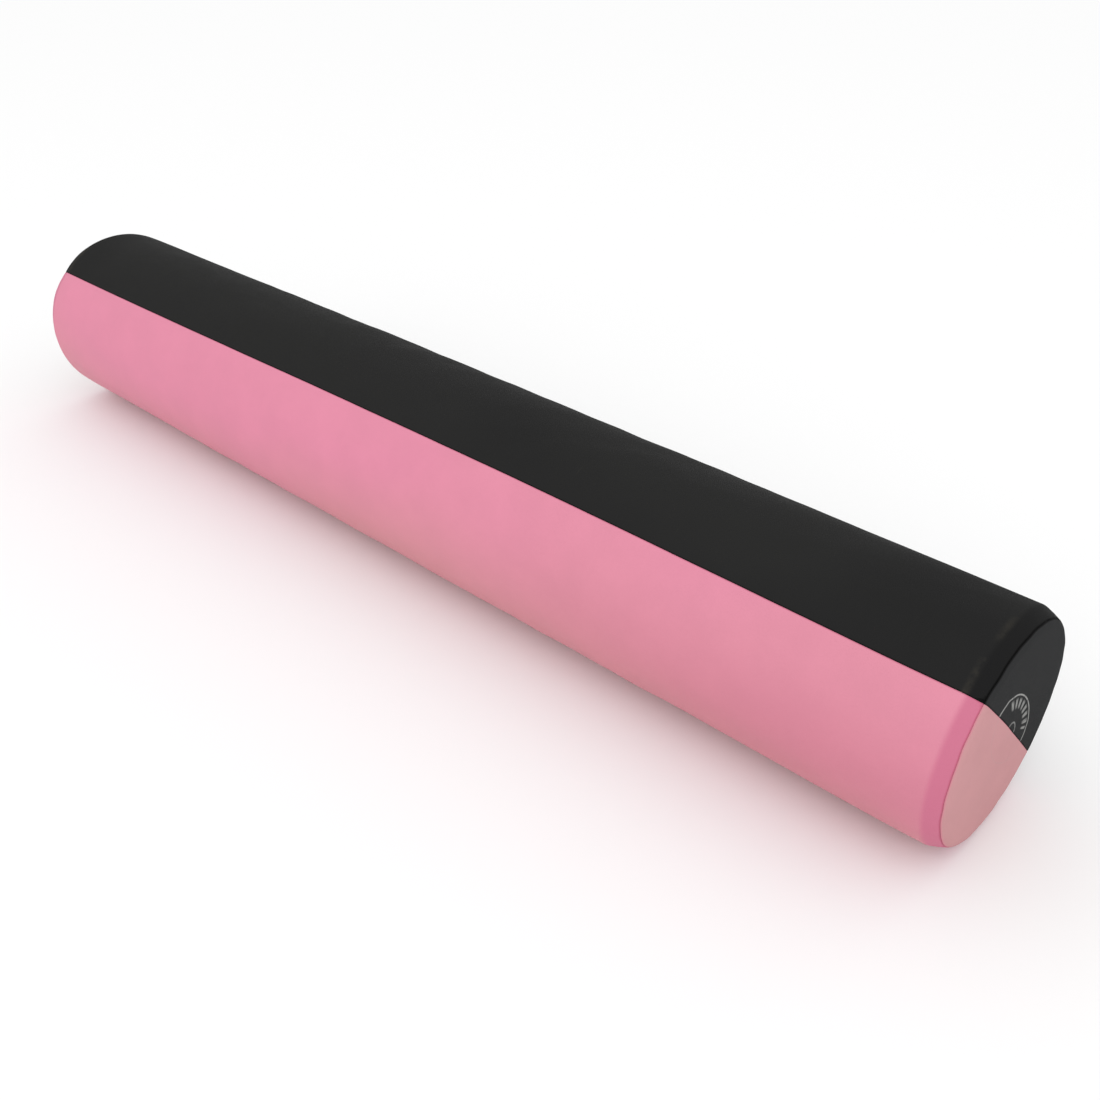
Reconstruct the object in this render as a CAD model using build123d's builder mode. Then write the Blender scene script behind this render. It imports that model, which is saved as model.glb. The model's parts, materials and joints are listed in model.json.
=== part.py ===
from build123d import *
import os
from math import cos, radians, sin, sqrt

# A soft round balance beam: a foam roll in a sewn two-colour vinyl cover, with a zip along its
# hidden back seam. Millimetres. X runs along the beam, Z is up, the floor is at Z = 0, and the
# origin is on the floor under the middle of the beam.

# ---------------------------------------------------------------- driving dimensions

# The roll as a whole
roll_length = 1210.0  # from the crown of one end to the crown of the other
roll_diameter = 198.0
rest_flat_width = 30.0  # the strip that its own weight flattens against the floor

# The sewn ends
end_crown = 4.5  # how far the middle of an end stands out past its seam
end_rim_rise = 3.0  # how much of that crown is in the rounded rim
end_rim_width = 7.0
shoulder_length = 13.0  # the band beside an end seam, where the cover pulls in
shoulder_drop = 5.5
shoulder_blend = 24.0  # radius of the soft ridge where the band begins

# The cover
vinyl = 0.7  # thickness of the coated cloth
allowance = 12.0  # width of the cloth turned in beside a seam
seam_angle = 42.0  # degrees from the top of the roll to the front seam, towards -Y

# The filling
foam_gap = 0.3  # looseness of the cover over the foam
glue_line = 0.2  # between two foam pieces
wrap_thickness = 24.0  # from the face of the cover in to the firm core
cushion_thickness = 25.0  # soft foam at each end, measured in from the end seam

# The zip
zip_inset = 25.5  # from an end seam to the end of the zip's slot
slot_clearance = 0.8  # between the slider and each edge of the cover
zip_edge = 12.0  # cloth turned in beside the slot
tape_thickness = 0.6
wedge_clearance = 0.4  # between the slider's wedge and each tape
tape_width = 14.0
tape_tail = 8.0  # how far the tapes run on past the slot
chain_width = 6.0
chain_height = 2.4
chain_split = 0.1  # between the two closed coils
coil_corner = 0.7
stop_length = 3.5
stop_wall = 0.9
stop_leg = 0.5  # thickness of the leg folded under the tape
clip_clearance = 0.1  # between a stop and the tape that it grips
channel_room = 1.0  # between the slider and the groove in the foam behind it

# The slider and its pull
slider_length = 13.0
slider_corner = 1.6
slider_edge = 0.4  # rounding of the top plate's rim
slider_clearance = 0.3
plate_thickness = 1.2
flange_thickness = 1.4
wedge_length = 5.5
wedge_width = 3.2
crown_length = 9.0
crown_height = 3.1
crown_width = 1.8
crown_wall = 1.2
window_length = 5.4  # opening under the crown, for the pull's pin
pin_diameter = 1.2
pin_clearance = 0.1
pull_length = 20.0
pull_width = 6.6
pull_corner = 1.6
pull_side_gap = 0.4  # between the crown and each arm of the pull
pull_hole = 2.6

# ---------------------------------------------------------------- what follows from them

radius = roll_diameter / 2
axis_height = sqrt(radius**2 - (rest_flat_width / 2) ** 2)
seam_x = roll_length / 2 - end_crown
seam_radius = radius - shoulder_drop
core_half = seam_x - cushion_thickness
core_radius = radius - wrap_thickness
beyond = roll_length  # large enough to reach past the beam in any direction

# Depths are measured square to the cover, from its outer face.
hem_depth = 2 * vinyl  # the inner face of a turned-in edge
flange_depth = 3 * vinyl  # the inner face of an end panel's flange, under the body's hem
tape_depth = hem_depth + tape_thickness
foam_depth = vinyl + foam_gap

roll_axis = Axis((0, 0, axis_height), (1, 0, 0))
axis_plane = Plane(origin=(0, 0, axis_height), x_dir=(1, 0, 0), z_dir=(0, -1, 0))

# The two long seams lie in one plane through the roll's axis. Its normal points to the black side.
black_side = Vector(0, cos(radians(seam_angle)), sin(radians(seam_angle)))
out_at_zip = Vector(0, sin(radians(seam_angle)), -cos(radians(seam_angle)))
seam_plane = Plane(origin=(0, 0, axis_height), x_dir=(1, 0, 0), z_dir=black_side)

# On the zip's own plane, x runs along the beam, y across the zip to the pink side, z outwards.
# Its section looks along the beam, with x to the pink side and y outwards.
zip_origin = Vector(0, 0, axis_height) + out_at_zip * radius
zip_plane = Plane(origin=zip_origin, x_dir=(1, 0, 0), z_dir=out_at_zip)
zip_section = Plane(origin=zip_origin, x_dir=black_side * -1, z_dir=(1, 0, 0))


def fall(distance):
    """How far the round cover falls below the zip's plane at a distance from its middle."""
    return radius - sqrt(radius**2 - distance**2)


# Across the zip
slider_width = chain_width + 2 * (slider_clearance + flange_thickness)
slot_edge = slider_width / 2 + slot_clearance
tape_inner = wedge_width / 2 + wedge_clearance
tape_outer = tape_inner + tape_width
coil_width = (chain_width - chain_split) / 2
coil_middle = (chain_width + chain_split) / 4
stop_reach = chain_width / 2 + stop_wall
flange_middle = (slider_width - flange_thickness) / 2
hem_reach = allowance + foam_gap
zip_reach = slot_edge + zip_edge + foam_gap
channel_half = slider_width / 2 + channel_room

# Out from the zip's plane: the coils stand on the tapes, and the slider goes round both.
chain_floor = -hem_depth
chain_top = chain_floor + chain_height
slit_high = chain_floor + clip_clearance
slit_low = -tape_depth - fall(stop_reach) - clip_clearance
slit_inner = tape_inner - clip_clearance
stop_low = slit_low - stop_leg
top_plate_low = chain_top + slider_clearance
top_plate_high = top_plate_low + plate_thickness
bottom_plate_high = -tape_depth - fall(slider_width / 2) - slider_clearance
bottom_plate_low = bottom_plate_high - plate_thickness
flange_low = chain_floor + slider_clearance
channel_depth = channel_room - bottom_plate_low

# Along the zip, from its closed end at +X to its open end
slot_half = seam_x - zip_inset
tape_end = slot_half + tape_tail
tape_room = tape_end + foam_gap
top_stop_x = slot_half - stop_length
bottom_stop_x = -slot_half + stop_length
slider_x = top_stop_x - slider_clearance - slider_length / 2
slider_travel = slider_x - slider_length / 2 - slider_clearance - bottom_stop_x
wedge_nose = slider_length / 2 - slider_corner / 2
wedge_tail = slider_length / 2 - wedge_length
chain_end = slider_x + wedge_tail - slider_clearance


# ---------------------------------------------------------------- construction solids


def roll_form(depth):
    """The whole roll as one solid, with its face lying depth inside the outside of the cover."""
    with BuildPart() as form:
        with BuildSketch(axis_plane):
            with BuildLine():
                dome = TangentArc(
                    (seam_x + end_crown, 0),
                    (seam_x + end_rim_rise, seam_radius - end_rim_width),
                    tangent=(0, 1),
                )
                TangentArc(dome @ 1, (seam_x, seam_radius), tangent=dome % 1)
                FilletPolyline(
                    (seam_x, seam_radius),
                    (seam_x - shoulder_length, radius),
                    (0, radius),
                    radius=shoulder_blend,
                )
                mirror(about=Plane.YZ)
                mirror(about=Plane.XZ)
            make_face()
            if depth > 0:
                offset(amount=-depth)
            split(bisect_by=Plane.XZ, keep=Keep.BOTTOM)
        revolve(axis=roll_axis)
        split(bisect_by=Plane.XY.offset(depth), keep=Keep.TOP)
    return form.part


def layer(outer_depth, inner_depth):
    """A closed skin that fills the space between two depths."""
    with BuildPart() as skin:
        add(roll_form(outer_depth))
        add(roll_form(inner_depth), mode=Mode.SUBTRACT)
    return skin.part


def slab_along(low, high):
    """Everything between two distances along the beam."""
    with BuildPart() as slab:
        with BuildSketch(Plane.YZ.offset(low)):
            Rectangle(beyond, beyond)
        extrude(amount=high - low)
    return slab.part


def slab_beside_seam(front_half_width, back_half_width):
    """Everything within a distance of the seam plane, front and back of the axis apart."""
    with BuildPart() as slab:
        for half_width, reach in ((front_half_width, -beyond), (back_half_width, beyond)):
            with BuildSketch(zip_plane.offset(-radius)):
                Rectangle(2 * beyond, 2 * half_width)
            extrude(amount=reach)
    return slab.part


def zip_strip(low_x, high_x, low_y, high_y, low_z, high_z):
    """A straight strip along the zip, given on the zip's own plane."""
    with BuildPart() as strip:
        with BuildSketch(zip_plane.offset(low_z)):
            with Locations(((low_x + high_x) / 2, (low_y + high_y) / 2)):
                Rectangle(high_x - low_x, high_y - low_y)
        extrude(amount=high_z - low_z)
    return strip.part


hem_layer = layer(vinyl, hem_depth)
face_layer = layer(0, vinyl)
tape_layer = layer(hem_depth, tape_depth)

with BuildPart() as zip_slot:
    add(zip_strip(-slot_half, slot_half, -slot_edge, slot_edge, -channel_depth, channel_depth))

# Where the cover is doubled: beside both long seams and beside both end seams.
with BuildPart() as hem_zone:
    add(slab_beside_seam(allowance, slot_edge + zip_edge))
    add(slab_along(seam_x - allowance, seam_x))
    add(slab_along(-seam_x, allowance - seam_x))

# Both body panels together, as one skin with its edges turned in along every seam.
with BuildPart() as body_cover:
    add(hem_layer)
    add(hem_zone.part, mode=Mode.INTERSECT)
    add(face_layer)
    add(slab_along(-seam_x, seam_x), mode=Mode.INTERSECT)
    add(zip_slot.part, mode=Mode.SUBTRACT)

# The edge of an end panel, which turns through the seam and lies flat under the body's hem.
with BuildPart() as end_flange:
    add(layer(hem_depth, flange_depth))
    add(slab_along(seam_x - allowance, seam_x), mode=Mode.INTERSECT)

with BuildPart() as end_turn:
    add(layer(0, flange_depth))
    add(slab_along(seam_x, seam_x + vinyl), mode=Mode.INTERSECT)

# The right end's two half-discs together, with the cloth turned in along the seam across the face.
with BuildPart() as right_end_cover:
    add(hem_layer)
    add(slab_beside_seam(allowance, allowance), mode=Mode.INTERSECT)
    add(face_layer)
    add(slab_along(seam_x, seam_x + beyond), mode=Mode.INTERSECT)
    add(end_turn.part)
    add(end_flange.part)

# All the foam as one blank, with shallow reliefs where the turned-in edges and the zip lie.
with BuildPart() as seam_relief:
    add(layer(foam_depth, hem_depth + foam_gap))
    add(slab_beside_seam(hem_reach, zip_reach), mode=Mode.INTERSECT)

with BuildPart() as end_relief:
    add(slab_along(seam_x - hem_reach, seam_x + vinyl + foam_gap))
    mirror(about=Plane.YZ)
    add(layer(foam_depth, flange_depth + foam_gap), mode=Mode.INTERSECT)

with BuildPart() as zip_relief:
    add(zip_strip(-tape_room, tape_room, -zip_reach, zip_reach, -radius, radius))
    add(layer(foam_depth, tape_depth + foam_gap), mode=Mode.INTERSECT)
    add(zip_strip(-slot_half, slot_half, -channel_half, channel_half, -channel_depth, 0))

with BuildPart() as foam_blank:
    add(roll_form(foam_depth))
    add(seam_relief.part, mode=Mode.SUBTRACT)
    add(end_relief.part, mode=Mode.SUBTRACT)
    add(zip_relief.part, mode=Mode.SUBTRACT)

os.makedirs("parts", exist_ok=True)

# ---------------------------------------------------------------- the filling

with BuildPart() as firm_core:
    with BuildSketch(Plane.YZ.offset(-core_half)):
        with Locations((0, axis_height)):
            Circle(core_radius)
    extrude(amount=2 * core_half)
firm_core.part.label = "firm_core"
export_step(firm_core.part, "parts/firm_core.step")

with BuildPart() as soft_wrap:
    add(foam_blank.part)
    add(slab_along(-core_half, core_half), mode=Mode.INTERSECT)
    with BuildSketch(Plane.YZ.offset(-core_half)):
        with Locations((0, axis_height)):
            Circle(core_radius + glue_line)
    extrude(amount=2 * core_half, mode=Mode.SUBTRACT)
soft_wrap.part.label = "soft_wrap"
export_step(soft_wrap.part, "parts/soft_wrap.step")

with BuildPart() as right_end_cushion:
    add(foam_blank.part)
    split(bisect_by=Plane.YZ.offset(core_half + glue_line), keep=Keep.TOP)
right_end_cushion.part.label = "right_end_cushion"
export_step(right_end_cushion.part, "parts/right_end_cushion.step")

with BuildPart() as left_end_cushion:
    add(foam_blank.part)
    split(bisect_by=Plane.YZ.offset(-core_half - glue_line), keep=Keep.BOTTOM)
left_end_cushion.part.label = "left_end_cushion"
export_step(left_end_cushion.part, "parts/left_end_cushion.step")

# ---------------------------------------------------------------- the cover

with BuildPart() as black_body_panel:
    add(body_cover.part)
    split(bisect_by=seam_plane, keep=Keep.TOP)
black_body_panel.part.label = "black_body_panel"
export_step(black_body_panel.part, "parts/black_body_panel.step")

with BuildPart() as pink_body_panel:
    add(body_cover.part)
    split(bisect_by=seam_plane, keep=Keep.BOTTOM)
pink_body_panel.part.label = "pink_body_panel"
export_step(pink_body_panel.part, "parts/pink_body_panel.step")

with BuildPart() as right_end_black_panel:
    add(right_end_cover.part)
    split(bisect_by=seam_plane, keep=Keep.TOP)
right_end_black_panel.part.label = "right_end_black_panel"
export_step(right_end_black_panel.part, "parts/right_end_black_panel.step")

with BuildPart() as right_end_pink_panel:
    add(right_end_cover.part)
    split(bisect_by=seam_plane, keep=Keep.BOTTOM)
right_end_pink_panel.part.label = "right_end_pink_panel"
export_step(right_end_pink_panel.part, "parts/right_end_pink_panel.step")

# The left end is the right one's mirror image.
with BuildPart() as left_end_black_panel:
    mirror(right_end_black_panel.part, about=Plane.YZ)
left_end_black_panel.part.label = "left_end_black_panel"
export_step(left_end_black_panel.part, "parts/left_end_black_panel.step")

with BuildPart() as left_end_pink_panel:
    mirror(right_end_pink_panel.part, about=Plane.YZ)
left_end_pink_panel.part.label = "left_end_pink_panel"
export_step(left_end_pink_panel.part, "parts/left_end_pink_panel.step")

# ---------------------------------------------------------------- the zip

with BuildPart() as zip_tape_black_side:
    add(zip_strip(-tape_end, tape_end, -tape_outer, -tape_inner, -radius, radius))
    add(tape_layer, mode=Mode.INTERSECT)
zip_tape_black_side.part.label = "zip_tape_black_side"
export_step(zip_tape_black_side.part, "parts/zip_tape_black_side.step")

with BuildPart() as zip_tape_pink_side:
    add(zip_strip(-tape_end, tape_end, tape_inner, tape_outer, -radius, radius))
    add(tape_layer, mode=Mode.INTERSECT)
zip_tape_pink_side.part.label = "zip_tape_pink_side"
export_step(zip_tape_pink_side.part, "parts/zip_tape_pink_side.step")

# Each coil is a plain bar of the coil's outer size, from the bottom stop to the slider's wedge.
with BuildPart() as zip_coil_black_side:
    with BuildSketch(zip_section.offset(bottom_stop_x)):
        with Locations((-coil_middle, (chain_floor + chain_top) / 2)):
            RectangleRounded(coil_width, chain_height, coil_corner)
    extrude(amount=chain_end - bottom_stop_x)
zip_coil_black_side.part.label = "zip_coil_black_side"
export_step(zip_coil_black_side.part, "parts/zip_coil_black_side.step")

with BuildPart() as zip_coil_pink_side:
    with BuildSketch(zip_section.offset(bottom_stop_x)):
        with Locations((coil_middle, (chain_floor + chain_top) / 2)):
            RectangleRounded(coil_width, chain_height, coil_corner)
    extrude(amount=chain_end - bottom_stop_x)
zip_coil_pink_side.part.label = "zip_coil_pink_side"
export_step(zip_coil_pink_side.part, "parts/zip_coil_pink_side.step")

# Each stop is a metal clip closed over the inner edge of the tape, which lies in its slit.
with BuildPart() as zip_top_stops:
    with BuildSketch(zip_section.offset(top_stop_x)):
        with Locations((stop_reach, chain_top)):
            Rectangle(
                stop_reach - tape_inner + stop_wall, chain_top - stop_low, align=(Align.MAX, Align.MAX)
            )
        with Locations((stop_reach, slit_high)):
            Rectangle(
                stop_reach - slit_inner,
                slit_high - slit_low,
                align=(Align.MAX, Align.MAX),
                mode=Mode.SUBTRACT,
            )
        mirror(about=Plane.YZ)
    extrude(amount=stop_length)
zip_top_stops.part.label = "zip_top_stops"
export_step(zip_top_stops.part, "parts/zip_top_stops.step")

with BuildPart() as zip_bottom_stop:
    with BuildSketch(zip_section.offset(-slot_half)):
        with Locations((0, chain_top)):
            Rectangle(2 * stop_reach, chain_top - stop_low, align=(Align.CENTER, Align.MAX))
        with Locations((stop_reach, slit_high)):
            Rectangle(
                stop_reach - slit_inner,
                slit_high - slit_low,
                align=(Align.MAX, Align.MAX),
                mode=Mode.SUBTRACT,
            )
        with Locations((-stop_reach, slit_high)):
            Rectangle(
                stop_reach - slit_inner,
                slit_high - slit_low,
                align=(Align.MIN, Align.MAX),
                mode=Mode.SUBTRACT,
            )
    extrude(amount=stop_length)
zip_bottom_stop.part.label = "zip_bottom_stop"
export_step(zip_bottom_stop.part, "parts/zip_bottom_stop.step")

# ---------------------------------------------------------------- slider and pull

# The slider's own planes: flat on the zip, and upright along it with y outwards.
slider_origin = zip_origin + Vector(slider_x, 0, 0)
slider_plane = Plane(origin=slider_origin, x_dir=(1, 0, 0), z_dir=out_at_zip)
slider_side = Plane(origin=slider_origin, x_dir=(1, 0, 0), z_dir=black_side)

with BuildPart() as zip_slider:
    with BuildSketch(slider_plane.offset(top_plate_low)):
        RectangleRounded(slider_length, slider_width, slider_corner)
    extrude(amount=plate_thickness)
    top_face = zip_slider.faces().sort_by(Axis(slider_origin, out_at_zip))[-1]
    fillet(top_face.edges(), slider_edge)
    with BuildSketch(slider_plane.offset(bottom_plate_low)):
        RectangleRounded(slider_length, slider_width, slider_corner)
    extrude(amount=plate_thickness)
    with BuildSketch(slider_plane.offset(flange_low)):
        with Locations((0, flange_middle), (0, -flange_middle)):
            Rectangle(slider_length - 2 * slider_corner, flange_thickness)
    extrude(amount=top_plate_low - flange_low)
    # The wedge parts the two coils, and is all that joins the bottom plate to the top one.
    with BuildSketch(slider_plane.offset(bottom_plate_high)):
        with BuildLine():
            Polyline(
                (wedge_nose, wedge_width / 2),
                (wedge_tail, 0),
                (wedge_nose, -wedge_width / 2),
                close=True,
            )
        make_face()
    extrude(amount=top_plate_low - bottom_plate_high)
    # The crown is an arch along the beam, with a window across it for the pull's pin.
    with BuildSketch(slider_side):
        with BuildLine():
            Polyline(
                (-crown_length / 2, top_plate_high),
                (-crown_length / 2 + crown_wall, top_plate_high + crown_height),
                (crown_length / 2 - crown_wall, top_plate_high + crown_height),
                (crown_length / 2, top_plate_high),
                close=True,
            )
        make_face()
        with Locations((0, top_plate_high)):
            Rectangle(
                window_length,
                crown_height - crown_wall,
                align=(Align.CENTER, Align.MIN),
                mode=Mode.SUBTRACT,
            )
    extrude(amount=crown_width / 2, both=True)
zip_slider.part.label = "zip_slider"
export_step(zip_slider.part, "parts/zip_slider.step")

# The pull hangs from a pin across the crown's window. Its slot clears the crown as it swings.
pin_height = top_plate_high + crown_height - crown_wall - pin_clearance - pin_diameter / 2
crown_reach = sqrt((crown_length / 2) ** 2 + (top_plate_high + crown_height - pin_height) ** 2)
pull_slot_length = crown_reach + pull_side_gap
pull_slot_width = crown_width + 2 * pull_side_gap

with BuildPart() as zip_pull:
    with BuildSketch(zip_section.offset(slider_x)) as tab:
        with Locations((0, pin_height)):
            Rectangle(pull_width, pull_length, align=(Align.CENTER, Align.MIN))
        fillet(tab.vertices().group_by(Axis.Y)[-1], pull_corner)
        with Locations((0, pin_height)):
            Rectangle(
                pull_slot_width,
                pull_slot_length,
                align=(Align.CENTER, Align.MIN),
                mode=Mode.SUBTRACT,
            )
        with Locations((0, pin_height + pull_length - pull_width / 2)):
            Circle(pull_hole / 2, mode=Mode.SUBTRACT)
    extrude(amount=pin_diameter / 2, both=True)
    with BuildSketch(slider_side):
        with Locations((0, pin_height)):
            Circle(pin_diameter / 2)
    extrude(amount=pull_width / 2, both=True)
zip_pull.part.label = "zip_pull"
export_step(zip_pull.part, "parts/zip_pull.step")

# What the joints need: the slider's travel towards -X, and the pin's middle and direction.
pin_point = slider_origin + out_at_zip * pin_height
print("axis height", round(axis_height, 3), "end seams at", round(seam_x, 3))
print("slider travel", round(slider_travel, 3))
print("pull pin at", [round(v, 4) for v in pin_point], "along", [round(v, 6) for v in black_side])
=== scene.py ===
# %% [markdown]
# # A soft round balance beam
#
# A beginner's balance beam is a roll of foam as long as a big stride, in a sewn cover of coated
# cloth. One half of the cover is black and the other is pink. Each end is closed by two half-discs,
# and a zip lies along the back seam, low down, where no foot lands on it.
#
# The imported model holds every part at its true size. This lesson dresses it: the flat panels become
# cloth that is sewn, turned in and pulled tight, and every finish gets its grain, wear and colour.

import json
from math import asin, cos, pi, radians, sin, tan
from types import SimpleNamespace

import bmesh
import bpy
import numpy as np
from mathutils import Matrix, Vector


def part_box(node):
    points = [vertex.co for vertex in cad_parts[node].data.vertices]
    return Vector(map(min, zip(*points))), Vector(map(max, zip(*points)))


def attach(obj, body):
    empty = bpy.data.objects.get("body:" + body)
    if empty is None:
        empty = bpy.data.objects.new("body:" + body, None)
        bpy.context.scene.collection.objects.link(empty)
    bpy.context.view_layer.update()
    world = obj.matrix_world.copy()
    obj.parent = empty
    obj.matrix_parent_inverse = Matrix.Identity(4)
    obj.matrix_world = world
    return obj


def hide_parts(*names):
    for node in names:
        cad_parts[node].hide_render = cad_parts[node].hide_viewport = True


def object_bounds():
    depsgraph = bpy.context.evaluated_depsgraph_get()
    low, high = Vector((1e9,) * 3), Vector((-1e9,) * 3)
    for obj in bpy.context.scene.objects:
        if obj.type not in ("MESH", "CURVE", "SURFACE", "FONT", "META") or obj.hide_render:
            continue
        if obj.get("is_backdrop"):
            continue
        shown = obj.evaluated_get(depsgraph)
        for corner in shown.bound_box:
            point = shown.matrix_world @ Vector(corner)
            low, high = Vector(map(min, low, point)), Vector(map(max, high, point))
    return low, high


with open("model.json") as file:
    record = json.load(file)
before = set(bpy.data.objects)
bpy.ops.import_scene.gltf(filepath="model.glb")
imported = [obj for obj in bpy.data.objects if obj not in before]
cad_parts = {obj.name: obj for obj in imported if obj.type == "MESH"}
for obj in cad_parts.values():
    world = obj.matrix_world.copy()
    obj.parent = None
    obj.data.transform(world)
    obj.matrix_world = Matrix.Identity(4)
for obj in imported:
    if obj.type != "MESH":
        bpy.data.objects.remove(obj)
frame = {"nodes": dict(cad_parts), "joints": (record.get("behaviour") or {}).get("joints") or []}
cad_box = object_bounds()
scene = bpy.context.scene
scene.view_settings.view_transform = "Standard"
print("parts in the model:", len(frame["nodes"]))

# %% [markdown]
# ## The sizes to work from
#
# Nothing is measured twice. The foam core lies on the roll's axis, so its middle gives the axis
# height. The black panel reaches the top of the roll, so it gives the radius. The pull swings on a
# pin that lies square to the plane of the two long seams, so its axis tells how the seams lie.

# %% Read the sizes
core_low, core_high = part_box("firm_core")
cover_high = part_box("black_body_panel")[1]
end_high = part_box("right_end_black_panel")[1]

AXIS_Z = (core_low.z + core_high.z) / 2
RADIUS = cover_high.z - AXIS_Z
SEAM_X = cover_high.x
CROWN = end_high.x - SEAM_X

swing = next(j for j in frame["joints"] if j["name"] == "pull_swing")
TO_BLACK = Vector(swing["axis"]).normalized()
TO_FRONT = Vector((1, 0, 0)).cross(TO_BLACK)
print(f"radius {RADIUS:.4f}, axis at {AXIS_Z:.4f}, end seams at {SEAM_X:.4f}, crown {CROWN:.4f}")

# %% [markdown]
# ## Camera, floor and light
#
# The camera comes first, because every later choice is judged through it. It stands to the right
# of the beam and above it, looking down along the roll, so the printed end is close and large.
#
# The beam stands in a white studio. A white sky lights it from every side, and one large soft lamp
# high on the front right makes the top of the roll a little brighter than its flank.

# %% Camera
camera_data = bpy.data.cameras.new("camera")
camera_data.sensor_width = 36.0
camera_data.lens = 39.6
camera = bpy.data.objects.new("camera", camera_data)
camera.location = (0.801, -0.720, 0.707)
camera.rotation_mode = "QUATERNION"
camera.rotation_quaternion = Vector((-0.559, 0.616, -0.555)).to_track_quat("-Z", "Y")
scene.collection.objects.link(camera)
scene.camera = camera
print("camera at", [round(v, 3) for v in camera.location], "with a lens of", camera_data.lens, "mm")

# %% Floor
FLOOR_REACH = 12.0
FLOOR_Z = -0.0003  # a hair below the beam, so that the two never share a plane
corners = ((-1, -1), (1, -1), (1, 1), (-1, 1))
floor_mesh = bpy.data.meshes.new("studio_floor")
floor_mesh.from_pydata(
    [(x * FLOOR_REACH, y * FLOOR_REACH, FLOOR_Z) for x, y in corners], [], [(0, 1, 2, 3)]
)
floor = bpy.data.objects.new("studio_floor", floor_mesh)
scene.collection.objects.link(floor)
paint = bpy.data.materials.new("studio_white")
paint.use_nodes = True
paint_shader = paint.node_tree.nodes["Principled BSDF"]
paint_shader.inputs["Base Color"].default_value = (0.93, 0.93, 0.93, 1)
paint_shader.inputs["Roughness"].default_value = 1.0
paint_shader.inputs["Specular IOR Level"].default_value = 0.0
floor_mesh.materials.append(paint)
floor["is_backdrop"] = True
print("floor", 2 * FLOOR_REACH, "m wide")

# %% Light
sky = bpy.data.worlds.new("studio_sky")
sky.use_nodes = True
sky_shader = sky.node_tree.nodes["Background"]
sky_shader.inputs["Color"].default_value = (1.0, 1.0, 1.0, 1)
sky_shader.inputs["Strength"].default_value = 1.04
scene.world = sky

lamp_data = bpy.data.lights.new("soft_lamp", "AREA")
lamp_data.shape = "DISK"
lamp_data.size = 2.4
lamp_data.energy = 9.0
lamp = bpy.data.objects.new("soft_lamp", lamp_data)
lamp.location = (0.9, -1.3, 2.5)
lamp.rotation_mode = "QUATERNION"
lamp.rotation_quaternion = (-lamp.location).to_track_quat("-Z", "Y")
scene.collection.objects.link(lamp)
print("white sky, and a lamp", lamp_data.size, "m wide")

# %% [markdown]
# ## Where a point of the cover lies
#
# Every place on the roll is told by two numbers. One is how far along the cover it is from the right
# end seam: zero at the seam, growing along the body, and below zero on the end disc. The other is
# the angle round the axis: zero at the front seam, growing over the black half to half a turn at
# the zip, and negative over the pink half. Working in these two makes sewing simple, because a seam
# is a line where one of the numbers stands still.

# %% Helpers for directions
front = np.array(TO_FRONT)
black = np.array(TO_BLACK)
along = np.array((1.0, 0.0, 0.0))
axis_point = np.array((0.0, 0.0, AXIS_Z))


def outwards(angle):
    """Directions away from the axis at some angles from the front seam."""
    return np.cos(angle)[..., None] * front + np.sin(angle)[..., None] * black


def smooth(value, low, high):
    """Goes softly from 0 at low to 1 at high."""
    t = np.clip((value - low) / (high - low), 0, 1)
    return t * t * (3 - 2 * t)


# %% [markdown]
# ## The outline of body and end
#
# Cut along its axis, the roll shows the line that a pattern maker would draw. The body runs straight
# to a soft ridge, where it begins to pull in to the end seam. At the seam both layers turn in, side
# by side, and this makes a narrow valley all round. The end disc stands out a little in its middle
# and rolls over at its rim.
#
# The line is drawn with sharp corners first, then each corner is replaced by an arc. That keeps
# the sizes readable: one radius for the ridge, one for the tight turn into the seam.

# %% Helper: a line with rounded corners
def rounded_path(corners, radii, steps=6):
    """Replaces each inner corner of a line by an arc that touches both of its sides."""
    corners = [np.array(c, float) for c in corners]
    line = [corners[0]]
    for before, corner, after, radius in zip(corners, corners[1:], corners[2:], radii):
        if radius == 0:
            line.append(corner)
            continue
        back = (before - corner) / np.linalg.norm(before - corner)
        ahead = (after - corner) / np.linalg.norm(after - corner)
        half = np.arccos(np.clip(back @ ahead, -1, 1)) / 2
        middle = corner + (back + ahead) / np.linalg.norm(back + ahead) * radius / sin(half)
        first = corner + back * radius / tan(half) - middle
        last = corner + ahead * radius / tan(half) - middle
        turn = np.arccos(np.clip(first @ last / radius**2, -1, 1))
        for t in np.linspace(0, 1, steps + 1):
            line.append(middle + (first * sin((1 - t) * turn) + last * sin(t * turn)) / sin(turn))
    line.append(corners[-1])
    return np.array(line)


# %% Outline of the body and of an end disc
BAND = 0.0130  # the sloping band beside each end seam
DROP = 0.0055  # how far it falls
RIDGE_ROUND = 0.0070
SEAM_ROUND = 0.0005
SEAM_GAP = 0.00002
TAIL = 0.0042  # cloth turned in at an end seam
RIM_RISE = 0.0030  # how much of an end's crown is in its rounded rim
RIM_WIDTH = 0.0070
STATION = 0.006  # between two points of the straight part
SEAM_RADIUS = RADIUS - DROP
INTO_SEAM = np.array((-0.56, -0.83))
ACROSS_SEAM = np.array((0.83, -0.56))

seam_corner = np.array((SEAM_X, SEAM_RADIUS))
stations = [0.0] + list(np.arange(STATION, SEAM_X - BAND - STATION, STATION))
body_corners = [(x, RADIUS) for x in stations]
body_corners += [(SEAM_X - BAND, RADIUS), (SEAM_X - BAND / 2, RADIUS - DROP / 2 + 0.0003)]
body_corners += [seam_corner - ACROSS_SEAM * SEAM_GAP]
body_corners += [seam_corner - ACROSS_SEAM * SEAM_GAP + INTO_SEAM * TAIL]
body_radii = [0] * (len(stations) - 1) + [RIDGE_ROUND, 0, SEAM_ROUND]
body_half = rounded_path(body_corners, body_radii)

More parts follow.
